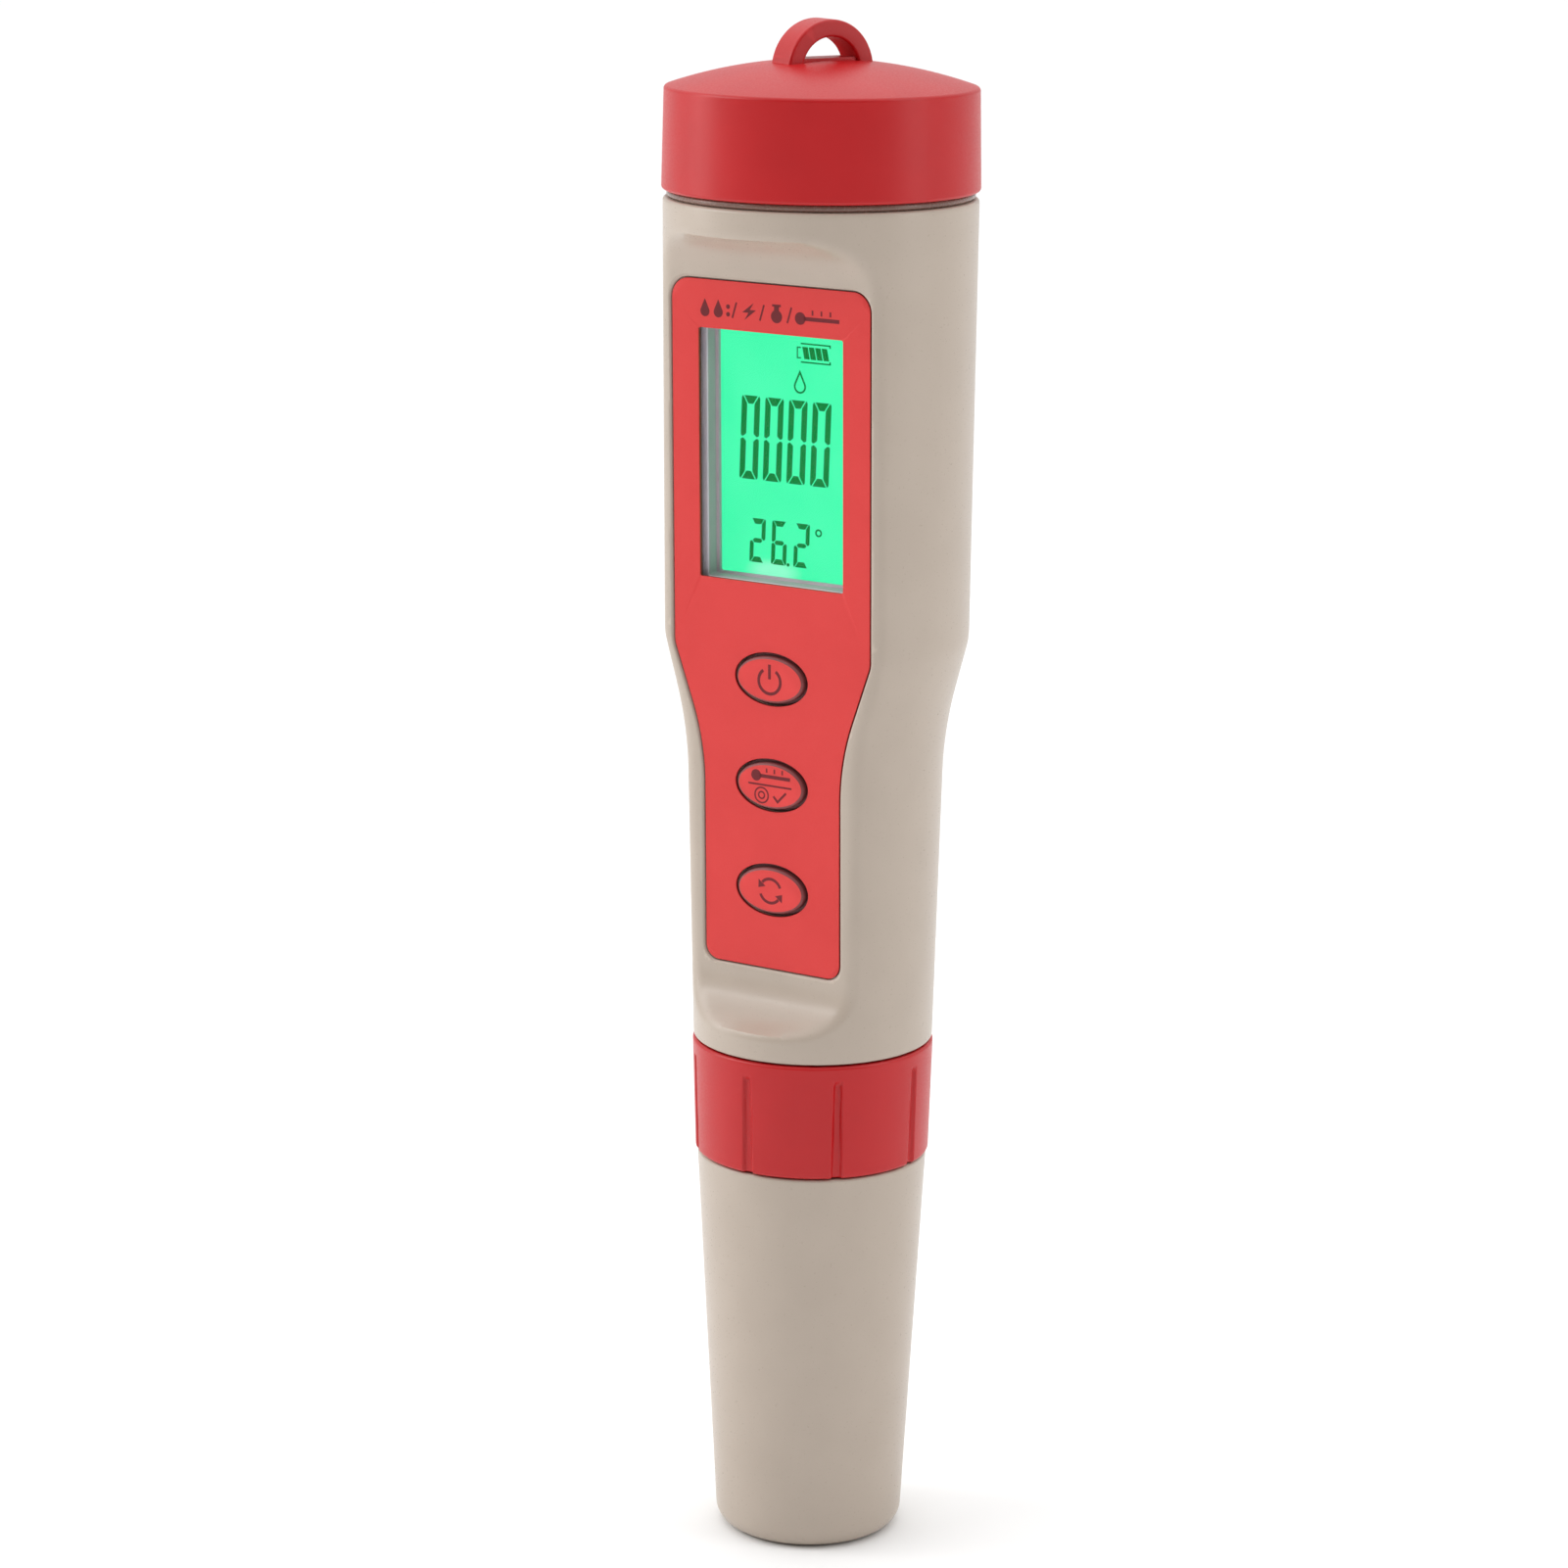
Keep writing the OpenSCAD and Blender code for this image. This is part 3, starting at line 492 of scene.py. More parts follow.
def circuit():
    """Green solder mask over copper tracks, which show as paler lines."""
    finish = Finish("board_mask", Roughness=0.35, Coat_Weight=0.3)
    tracks = finish.node("ShaderNodeTexBrick")
    tracks.inputs["Scale"].default_value = 1 / (9 * MM)
    tracks.inputs["Mortar Size"].default_value = 0.03
    tracks.inputs["Color1"].default_value = linear(20, 84, 44)
    tracks.inputs["Color2"].default_value = linear(24, 92, 50)
    tracks.inputs["Mortar"].default_value = linear(52, 132, 74)
    swap = finish.node("ShaderNodeMapping")
    swap.inputs["Rotation"].default_value = (math.pi / 2, 0, 0)
    finish.link(finish.place, swap.inputs["Vector"])
    finish.link(swap.outputs["Vector"], tracks.inputs["Vector"])
    finish.link(tracks.outputs["Color"], finish.shader.inputs["Base Color"])
    finish.bump(tracks.outputs["Fac"], 0.02)
    return finish.material


BODY = plastic("body_abs", linear(185, 171, 157), linear(182, 168, 154), 0.32, grain=0.28, depth=0.002)
RED = plastic("cap_abs", linear(188, 14, 20), linear(184, 12, 18), 0.36, grain=0.24, depth=0.004,
              Specular_IOR_Level=0.42)
LABEL = plastic("label_film", linear(217, 50, 48), linear(214, 47, 45), 0.55, grain=0.2, depth=0.006,
                wear=0.15)
KEY_FACE = plastic("key_film", linear(217, 51, 49), linear(214, 48, 46), 0.5, grain=0.2, depth=0.005,
                   wear=0.15)
# Darker red on the label's cut edges: painted shade, for the shadowed gap round the label and its openings.
LABEL_EDGE_SHADE = plastic("label_edge_painted_shade", linear(132, 34, 36), linear(124, 30, 32), 0.6)
RUBBER = plastic("key_rubber", linear(128, 64, 65), linear(120, 58, 59), 0.5, grain=0.35, depth=0.006)
BLACK_RUBBER = plastic("o_ring_rubber", linear(24, 24, 25), linear(30, 30, 31), 0.5, grain=0.5)
INK = plastic("print_ink", linear(112, 26, 34), linear(104, 24, 30), 0.5, grain=0.12, wear=0.0,
             Specular_IOR_Level=0.3)
GASKET = plastic("gasket_silicone", linear(132, 98, 86), linear(122, 90, 80), 0.25, Subsurface_Weight=0.1)
BEZEL = plastic("bezel_grey", linear(186, 166, 178), linear(180, 160, 172), 0.45, grain=0.2, patch=3)
# Near-white copy of the bezel grey: painted light on the frame's front faces, which lie in the label's
# shadow.
BEZEL_PAINTED_LIGHT = plastic("bezel_painted_light", linear(234, 226, 236), linear(228, 220, 232), 0.45, grain=0.2, patch=3)
SEGMENT = plastic("lcd_segment", linear(0, 70, 34), linear(0, 60, 28), 0.5, wear=0.0, Specular_IOR_Level=0.05,
                  Emission_Color=linear(0, 144, 58), Emission_Strength=0.6)
BLACK = plastic("black_nylon", linear(32, 32, 34), linear(40, 40, 42), 0.5, grain=0.4)
PROBE = plastic("probe_abs", linear(52, 52, 56), linear(46, 46, 50), 0.4, grain=0.25)
CHIP = plastic("chip_epoxy", linear(30, 30, 32), linear(38, 38, 40), 0.6, grain=0.1)
GUIDE = plastic("guide_acrylic", linear(226, 240, 232), linear(216, 236, 226), 0.3, Transmission_Weight=0.3)
LED = plastic("led_phosphor", linear(228, 232, 190), linear(220, 226, 170), 0.35)
ZEBRA = plastic("zebra_rubber", linear(206, 138, 148), linear(60, 44, 48), 0.6, patch=0.4)
CERAMIC = plastic("junction_ceramic", linear(232, 230, 220), linear(220, 216, 204), 0.8, grain=0.15,
                  depth=0.02)
GRAPHITE = plastic("pin_graphite", linear(62, 62, 66), linear(52, 52, 56), 0.35, grain=0.15)
STEEL = metal("bright_steel", linear(196, 196, 194), 0.28)
NICKEL = metal("plated_nickel", linear(206, 202, 192), 0.24, along=(1, 1, 1))
GOLD = metal("plated_gold", linear(226, 180, 92), 0.22, along=(1, 1, 1))
LENS = lens_film()
GLASS = clear("electrode_glass", (0.9, 0.97, 0.98, 1), 0.01, 1.5)
LIT = display_light()
FOAM = foam()
BOARD = circuit()


# ------------------------------------------------------------------ camera, floor and light
VIEW_TURN = math.radians(33.1)


def aim(direction, up):
    """Rotation that looks along direction with up upwards."""
    right = direction.cross(up).normalized()
    return Matrix((right, right.cross(direction).normalized(), -direction)).transposed()


def make_camera():
    """The photo's view: a long lens, higher than the object and turned to the panel's right."""
    pitch, roll = math.radians(13.27), math.radians(0.48)
    distance, height, sideways = 550, 225.1, -3.82
    right = Vector((math.cos(VIEW_TURN), math.sin(VIEW_TURN), 0))
    ahead = Vector((-math.sin(VIEW_TURN), math.cos(VIEW_TURN), 0))
    look = ahead * math.cos(pitch) - Vector((0, 0, 1)) * math.sin(pitch)
    data = bpy.data.cameras.new("photo_camera")
    data.lens, data.sensor_width = 106.1, 36
    data.clip_start, data.clip_end = 0.01, 50
    camera = bpy.data.objects.new("photo_camera", data)
    turn = aim(look, Vector((0, 0, 1))) @ Matrix.Rotation(roll, 3, "Z")
    place = right * sideways - ahead * distance + Vector((0, 0, height))
    camera.matrix_world = Matrix.Translation(place * MM) @ turn.to_4x4()
    bpy.context.scene.collection.objects.link(camera)
    bpy.context.scene.camera = camera


def area_light(name, place, target, width, height, power):
    """Soft box aimed at target, in metres and watts."""
    data = bpy.data.lights.new(name, "AREA")
    data.shape, data.size, data.size_y, data.energy = "RECTANGLE", width, height, power
    light = bpy.data.objects.new(name, data)
    direction = (Vector(target) - Vector(place)).normalized()
    light.matrix_world = Matrix.Translation(place) @ aim(direction, Vector((0.01, 0, 1))).to_4x4()
    bpy.context.scene.collection.objects.link(light)


def make_floor():
    """Pale floor under the probe cap, on which the tester stands, also when it is drawn out of the cap."""
    half_metres = 12
    built = bmesh.new()
    bmesh.ops.create_grid(built, x_segments=2, y_segments=2, size=half_metres / MM)
    floor = finished("floor", built)
    finish = Finish("floor_paper", Roughness=0.9)
    patches = finish.spread(finish.noise(60, 2), 0, 1)
    paper = finish.mix(patches, (0.92, 0.92, 0.92, 1), (0.91, 0.91, 0.91, 1))
    finish.link(paper, finish.shader.inputs["Base Color"])
    floor.data.materials.append(finish.material)
    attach(floor, nodes["probe_cap"]["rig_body"])


def make_light():
    """A pale room, brightest overhead and dimmest on the photographer's side, with three soft boxes."""
    scene = bpy.context.scene
    world = bpy.data.worlds.new("studio")
    world.use_nodes = True
    scene.world = world
    tree = world.node_tree
    background = tree.nodes["Background"]
    background.inputs["Color"].default_value = (1, 1, 1, 1)
    direction = tree.nodes.new("ShaderNodeTexCoord").outputs["Generated"]
    parts = []
    for toward, start, end, low, high in (
        ((math.sin(VIEW_TURN), -math.cos(VIEW_TURN), 0), -0.4, 0.8, 0.74, 0.02),
        ((0, 0, 1), 0.3, 1.0, 0.0, 1.2),
    ):
        facing = tree.nodes.new("ShaderNodeVectorMath")
        facing.operation = "DOT_PRODUCT"
        facing.inputs[1].default_value = toward
        tree.links.new(direction, facing.inputs[0])
        part = tree.nodes.new("ShaderNodeMapRange")
        for socket, number in zip(("From Min", "From Max", "To Min", "To Max"), (start, end, low, high)):
            part.inputs[socket].default_value = number
        tree.links.new(facing.outputs["Value"], part.inputs["Value"])
        parts.append(part.outputs["Result"])
    total = tree.nodes.new("ShaderNodeMath")
    for output, socket in zip(parts, total.inputs):
        tree.links.new(output, socket)
    tree.links.new(total.outputs["Value"], background.inputs["Strength"])
    middle = (0, 0, 0.11)
    area_light("left_box", (-0.66, -0.34, 0.42), middle, 0.3, 0.7, 1.9)
    area_light("right_box", (0.64, 0.14, 0.42), middle, 0.25, 0.7, 1.0)
    area_light("front_box", (-0.42, -0.51, 0.51), middle, 0.4, 0.06, 0.85)
    scene.view_settings.view_transform = "Standard"


make_camera()
make_floor()
make_light()


# ------------------------------------------------------------------ barrel
def thread_depth(angles, height, low, high, pitch, depth):
    """How far a right-handed thread's surface lies below its crests; it runs out at both ends."""
    crest_half, flank, run_out = 0.14, 0.2, 0.8
    phase = (height / pitch - angles / TURN) % 1
    valley = np.clip((np.abs(phase - 0.5) - crest_half) / flank, 0, 1)
    fade = max(0.0, min(1.0, (height - low) / run_out, (high - height) / run_out))
    return depth * (1 - valley * fade) if fade > 0 else np.full(angles.shape, 0.0)


def behind_flat(y, z):
    """Distance behind the cut front: a flat with a concave scoop at each end, in the panel's frame."""
    low_z, low_r, high_z, high_r = -36.6, 6.0, 46.8, 6.8
    scoops = []
    for past, radius in ((low_z - z, low_r), (z - high_z, high_r)):
        depth = y - (FLAT_Y - radius)
        scoops.append(np.where(depth > 0, np.hypot(depth, past), past) - radius)
    return np.where(z < low_z, scoops[0], np.where(z > high_z, scoops[1], y - FLAT_Y))


def cut_radius(angles, height, radius, behind, ridge):
    """Distance from the axis to the surface of a round form with its front cut away and the ridge rounded."""
    near, far = np.zeros(angles.shape), np.full(angles.shape, radius + 0.5)
    for _ in range(32):
        middle = (near + far) / 2
        y_world, z_world = PANEL_D - middle * np.cos(angles), height - PANEL_Z
        y = y_world * math.cos(TILT) + z_world * math.sin(TILT)
        z = z_world * math.cos(TILT) - y_world * math.sin(TILT)
        form, front = middle - radius, -behind(y, z)
        rounding = np.hypot(np.maximum(form + ridge, 0), np.maximum(front + ridge, 0))
        outside = np.minimum(-ridge, np.maximum(form, front)) + rounding > 0
        far = np.where(outside, middle, far)
        near = np.where(outside, near, middle)
    return near


def loft_tool(name, loop, layers):
    """Closed cutter in the panel's frame; layers are (grow, depth)."""
    return plate(name, [[loop]], [(-grow, depth) for grow, depth in layers])


def make_barrel():
    front_half = 84
    front = np.radians(np.linspace(-front_half, front_half, 189))
    back = np.radians(np.linspace(front_half, 360 - front_half, 72, endpoint=False)[1:])
    angles = np.concatenate((front, back))
    grip_r, waist_r, head_r = 14.75, 15.65, 18.47
    shoulder_low, shoulder_high = BARREL_LOW + 38.9, BARREL_LOW + 50.2
    cavity_low, cavity_high = BARREL_LOW + 2.3, BARREL_HIGH - 2.5
    outer = [(grip_r, BARREL_LOW, 0.35), (waist_r, shoulder_low, 50), (head_r, shoulder_high, 8),
             (BARREL_R, BARREL_HIGH, 0.45)]
    inner = [(r - WALL, z, turn) for r, z, turn in outer[1:3]]
    ridge, inner_ridge = 0.85, 0.4
    spigot_pitch, spigot_depth, neck_pitch, neck_depth = 1.5, 0.45, 2, 0.55

    spigot = rounded([(SPIGOT_BORE_R, SPIGOT_LOW, 0), (SPIGOT_R, SPIGOT_LOW, 0.4), (SPIGOT_R, BARREL_LOW, 0)],
                     closed=False)
    body = rounded([(SPIGOT_R, BARREL_LOW, 0)] + outer + [(NECK_R, BARREL_HIGH, 0)], closed=False)
    neck = rounded([(NECK_R, BARREL_HIGH, 0), (NECK_R, NECK_HIGH, 0.5), (NECK_BORE_R, NECK_HIGH, 0.3),
                    (NECK_BORE_R, cavity_high, 0)], closed=False)
    cavity = rounded([(NECK_BORE_R, cavity_high, 0), (BARREL_R - WALL, cavity_high, 0)] + inner[::-1]
                     + [(grip_r - WALL, cavity_low, 0), (SPIGOT_BORE_R, cavity_low, 0)], closed=False)

    def backing(y, z):
        return y - BACKING_Y

    rings = []
    for r, z in refine(spigot, 0.22):
        cut = thread_depth(angles, z, SPIGOT_LOW + 1, BARREL_LOW - 1.5, spigot_pitch, spigot_depth)
        rings.append(ring(r - (r > SPIGOT_R - 0.3) * cut, z, angles))
    for r, z in refine(body, 0.5)[1:]:
        rings.append(ring(cut_radius(angles, z, r, behind_flat, ridge), z, angles))
    for r, z in refine(neck, 0.22)[1:]:
        cut = thread_depth(angles, z, BARREL_HIGH + 1.2, NECK_HIGH - 0.4, neck_pitch, neck_depth)
        rings.append(ring(r - (r > NECK_R - 0.3) * cut, z, angles))
    for r, z in refine(cavity, 3.5)[1:-1]:
        rings.append(ring(cut_radius(angles, z, r, backing, inner_ridge), z, angles))
    shell = skin("barrel_shell", rings, loop=True)

    lip, gap = 0.35, 0.15
    flare = [(gap + lip * (1 - math.sin(turn)), FLAT_Y + lip * (1 - math.cos(turn)))
             for turn in np.linspace(0, math.pi / 2, 7)]
    window = rectangle(*WINDOW, at=(0, WINDOW_MID))
    lens_ledge, frame_ledge = 1.95, 0.8
    tools = [
        (label_outline(), [(gap + lip, -3)] + flare + [(gap, POCKET_Y)]),
        (window, [(lens_ledge, POCKET_Y - 0.1), (lens_ledge, LENS_BACK + 0.1)]),
        (window, [(frame_ledge, LENS_BACK - 0.1), (frame_ledge, BACKING_Y + 1)]),
    ]
    for i in range(3):
        layers = [(KEY_GAP + 0.1, POCKET_Y - 0.1), (KEY_GAP, POCKET_Y + 0.1), (KEY_GAP, BACKING_Y + 1)]
        tools.append((oval(*KEY, at=key_spot(i)), layers))
    for loop, layers in tools:
        combine(shell, loft_tool("cutter", loop, layers), "DIFFERENCE")
    stand_in(shell, "barrel", BODY)


make_barrel()


# ------------------------------------------------------------------ label, keys and print
def make_label():
    holes = [rectangle(*WINDOW, at=(0, WINDOW_MID), corner=0.25)]
    holes += [oval(KEY[0] + 2 * KEY_GAP, KEY[1] + 2 * KEY_GAP, at=key_spot(i)) for i in range(3)]
    layers = [(0.09, 0.0), (0.03, 0.025), (0.0, 0.09), (0.0, LABEL_T)]
    label = plate("label_sheet", [[label_outline()] + holes], layers)
    stand_in(label, "front_label", LABEL, LABEL_EDGE_SHADE)
    # The cut edges take the darker red of painted shade, so the gap round the label and its openings shows as
    # a dark line.
    paint_faces(label, lambda centre, normal: normal.y > -0.4, 1)


def droplet(at, size):
    """Filled drop with its point up."""
    x, y = at
    bowl = arc((x, y - 0.2 * size), 0.32 * size, -205, 25)
    return [bowl + [(x, y + 0.55 * size)]]


def thermometer(at, length, width):
    """Lying thermometer: a filled bulb, a tube drawn as a line, and scale marks above it."""
    x, y = at
    left = x - length / 2
    shapes = [[oval(1.35 * width, 1.35 * width, at=(left + 0.7 * width, y), count=28)]]
    shapes.append(stroke([(left + 1.2 * width, y), (x + length / 2, y)], 0.42 * width))
    for share in (0.4, 0.6, 0.8):
        mark = left + share * length
        shapes.append(stroke([(mark, y + 0.42 * width), (mark, y + 0.95 * width)], 0.2 * width))
    return shapes


def header_shapes():
    """Row of pictograms for dissolved matter, conductivity, acidity and temperature, with slashes between."""
    y, line = LABEL_TOP - 3.4, 0.26
    shapes = [droplet((-9.2, y), 2.0), droplet((-7.3, y), 2.0)]
    shapes += [[oval(0.55, 0.55, at=(-5.9, y + rise), count=20)] for rise in (-0.55, 0.35)]
    bolt = [(0.55, 1.05), (-0.75, -0.15), (-0.05, -0.15), (-0.5, -1.05), (0.8, 0.2), (0.1, 0.2)]
    shapes.append([[(1.25 * px - 2.95, y + py) for px, py in bolt]])
    bulb = arc((0.95, y - 0.3), 0.78, 116, 424)
    shapes.append([bulb + [(1.29, y + 0.95), (0.61, y + 0.95)]])
    shapes.append(stroke([(0.35, y + 1.0), (1.55, y + 1.0)], line))
    shapes += thermometer((6.6, y - 0.25), 6.2, 1.1)
    for x in (-5.0, -1.1, 2.75):
        shapes.append(stroke([(x - 0.3, y - 0.95), (x + 0.3, y + 0.95)], 0.22))
    return shapes


def power_shapes(x, y):
    """Standby symbol."""
    centre = (x, y - 0.15)
    return [stroke(arc(centre, 1.55, 125, 415), 0.38), stroke([(x, y + 0.1), (x, y + 1.9)], 0.38)]


def temp_cal_shapes(x, y):
    """Thermometer above a line, and a target with a tick below it."""
    shapes = thermometer((x + 0.1, y + 1.15), 5.6, 1.05)
    shapes.append(stroke([(x - 3.1, y + 0.05), (x + 3.1, y + 0.05)], 0.22))
    for size in (1.9, 0.84):
        target = oval(size, size, at=(x - 1.2, y - 1.25), count=28)
        shapes.append(stroke(target, 0.2, closed=True))
    shapes.append(stroke([(x + 0.5, y - 1.2), (x + 1.1, y - 1.85), (x + 2.3, y - 0.6)], 0.28))
    return shapes


def mode_shapes(x, y):
    """Two arrows that chase each other round."""
    shapes, radius = [], 1.5
    for side in (0, 180):
        shapes.append(stroke(arc((x, y), radius, side + 20, side + 140), 0.36))
        tip = math.radians(side + 142)
        out, along = Vector((math.cos(tip), math.sin(tip))), Vector((-math.sin(tip), math.cos(tip)))
        at = Vector((x, y)) + out * radius
        shapes.append([[tuple(at + along * 0.85), tuple(at + out * 0.62), tuple(at - out * 0.62)]])
    return shapes


def make_keys():
    names = ("power", "temp_cal", "mode")
    icons = (power_shapes, temp_cal_shapes, mode_shapes)
    proud, travel_room = 0.35, 0.75
    layers = [(0.3, -proud), (0.27, -proud + 0.01), (0.1, -proud + 0.1), (0.02, -proud + 0.22), (0.0, 0.1),
              (0.0, travel_room), (-0.33, travel_room + 0.05), (-0.33, 2.5), (-1.3, 2.5), (-1.35, 2.58),
              (-1.35, 3.3)]
    stem = [(0.0, 3.3), (0.0, 4.7), (0.1, 4.85)]
    for i, (name, shapes) in enumerate(zip(names, icons)):
        spot = key_spot(i)
        built = bmesh.new()
        add_plate(built, [oval(*KEY, at=spot)], layers)
        add_plate(built, [oval(3.2, 3.2, at=spot, count=32)], stem)
        key = finished(name + "_key_cap", built)
        stand_in(key, name + "_button", RUBBER, KEY_FACE)
        paint_faces(key, lambda centre, normal: centre.y < 0.008 - proud and normal.y < -0.5, 1)
        icon = plate(name + "_icon", shapes(*spot), [(0.0, -proud - 0.012), (0.0, -proud + 0.01)])
        added(icon, name + "_button", INK)


make_label()
make_keys()
header = plate("label_pictograms", header_shapes(), [(0.0, -0.012), (0.0, 0.01)])
added(header, "front_label", INK)


# ------------------------------------------------------------------ display
# The lit segments of each figure, in the order that figure_shapes lists its parts.
FIGURES = {"0": "1111110", "2": "1101101", "6": "1011111"}


def figure_shapes(figure, x, y, width, height, bar, gap, slant=0.045):
    """Seven-segment figure with wedge-shaped ends and light gaps; x, y is its lower left corner."""
    half, cap = height / 2, 1.27 * bar
    across = [(0.47 * bar, 0), (width - 0.47 * bar, 0), (width - 1.27 * bar, cap), (1.27 * bar, cap)]
    shift = 1.18 * gap
    low_upright = [(0, 0.35 * bar), (0.47 * bar - shift, 0), (1.2 * bar - shift, 1.15 * bar),
                   (bar, 1.4 * bar), (bar, half - 0.5 * bar - gap / 2), (0.4 * bar, half - gap / 2),
                   (0, half - 0.35 * bar)]
    middle = [(0.75 * bar, half), (1.2 * bar, half + bar / 2), (width - 1.2 * bar, half + bar / 2),
              (width - 0.75 * bar, half), (width - 1.2 * bar, half - bar / 2), (1.2 * bar, half - bar / 2)]
    top, high_upright = ([(px, height - py) for px, py in part] for part in (across, low_upright))
    right_low, right_high = ([(width - px, py) for px, py in part] for part in (low_upright, high_upright))
    parts = [top, right_high, right_low, across, low_upright, high_upright, middle]
    return [[[(x + px + slant * py, y + py) for px, py in part]]
            for part, lit in zip(parts, FIGURES[figure]) if lit == "1"]


def battery_shapes(x, y):
    """Battery drawn by two rails, a cap at its left and four slanted bars."""
    shapes = [stroke([(x, y + side * 1.1), (x + 4.1, y + side * 1.1), (x + 4.1, y + side * 0.8)], 0.17)
              for side in (-1, 1)]
    shapes.append(stroke([(x, y - 0.62), (x - 0.5, y - 0.62), (x - 0.5, y + 0.62), (x, y + 0.62)], 0.15))
    for i in range(4):
        left, wide, lean, half = x + 0.2 + 0.9 * i, 0.74, 0.3, 0.72
        shapes.append([[(left + lean, y - half), (left + lean + wide, y - half), (left + wide, y + half),
                        (left, y + half)]])
    return shapes


def display_shapes():
    """Everything that is lit: battery, drop, four large figures, and three small ones with a degree ring."""
    large_z, small_z = 133.5 - PANEL_Z, 123.45 - PANEL_Z
    large_left, large_pitch = -6.84, 3.36
    shapes = []
    for i in range(4):
        shapes += figure_shapes("0", large_left + large_pitch * i, large_z, 2.6, 10.1, 0.76, 0.17)
    for figure, x in (("2", -5.45), ("6", -2.35), ("2", 0.85)):
        shapes += figure_shapes(figure, x, small_z, 2.15, 5.35, 0.52, 0.1)
    shapes.append([oval(0.42, 0.42, at=(0.1, small_z + 0.15), count=16)])
    shapes.append(stroke(oval(0.75, 0.75, at=(4.45, small_z + 4.45), count=20), 0.2, closed=True))
    shapes += battery_shapes(2.0, large_z + 15.85)
    shapes += [stroke(droplet((1.85, large_z + 12.25), 2.3)[0], 0.22, closed=True)]
    return shapes


def make_display():
    at = (0, WINDOW_MID)
    pane_layers = [(0.15, 0.47), (0.04, 0.51), (0.0, 0.62), (0.0, 1.25), (0.04, 1.36), (0.15, LENS_BACK)]
    pane = plate("lens_pane", [[rectangle(23.9, 33.7, at, 0.4)]], pane_layers)
    stand_in(pane, "display_lens", LENS)

    # Width, height and depth of each edge round the frame's section, from its outer front edge.
    well = [(21.7, 31.5, 1.5), (21.7, 31.5, 2.5), (24.3, 34.9, 2.5), (24.4, 35.0, 2.6), (24.4, 35.0, 9.0),
            (23.2, 33.4, 9.0), (23.2, 33.4, 3.6), (18.8, 29.7, 3.6), (18.8, 29.7, 3.15), (19.5, 30.2, 3.0),
            (19.6, 30.3, 1.75), (19.75, 30.45, 1.55), (19.95, 30.65, 1.46), (21.5, 31.3, 1.46)]
    rings = [[PANEL @ Vector((x, depth, z)) for x, z in rectangle(width, height, at, 0.25)]
             for width, height, depth in well]
    bezel = stand_in(skin("lcd_bezel", rings, loop=True), "lcd_frame", BEZEL, BEZEL_PAINTED_LIGHT)
    # The front faces, shaded by the label's edge, take the near-white copy of the bezel grey: painted light.
    paint_faces(bezel, lambda centre, normal: centre.y < 1.6, 1)

    cell_layers = [(0.12, 3.65), (0.0, 3.75), (0.0, 5.5), (0.1, 5.6)]
    cell = plate("lcd_cell", [[rectangle(23, 33.2, at, 0.2)]], cell_layers)
    stand_in(cell, "lcd_glass", GLASS, LIT)
    paint_faces(cell, lambda centre, normal: centre.y < 3.7 and normal.y < -0.5, 1)
    segments = plate("lcd_segments", display_shapes(), [(0.0, LCD_Y + 0.01), (0.0, 3.65)])
    added(segments, "lcd_glass", SEGMENT)


make_display()


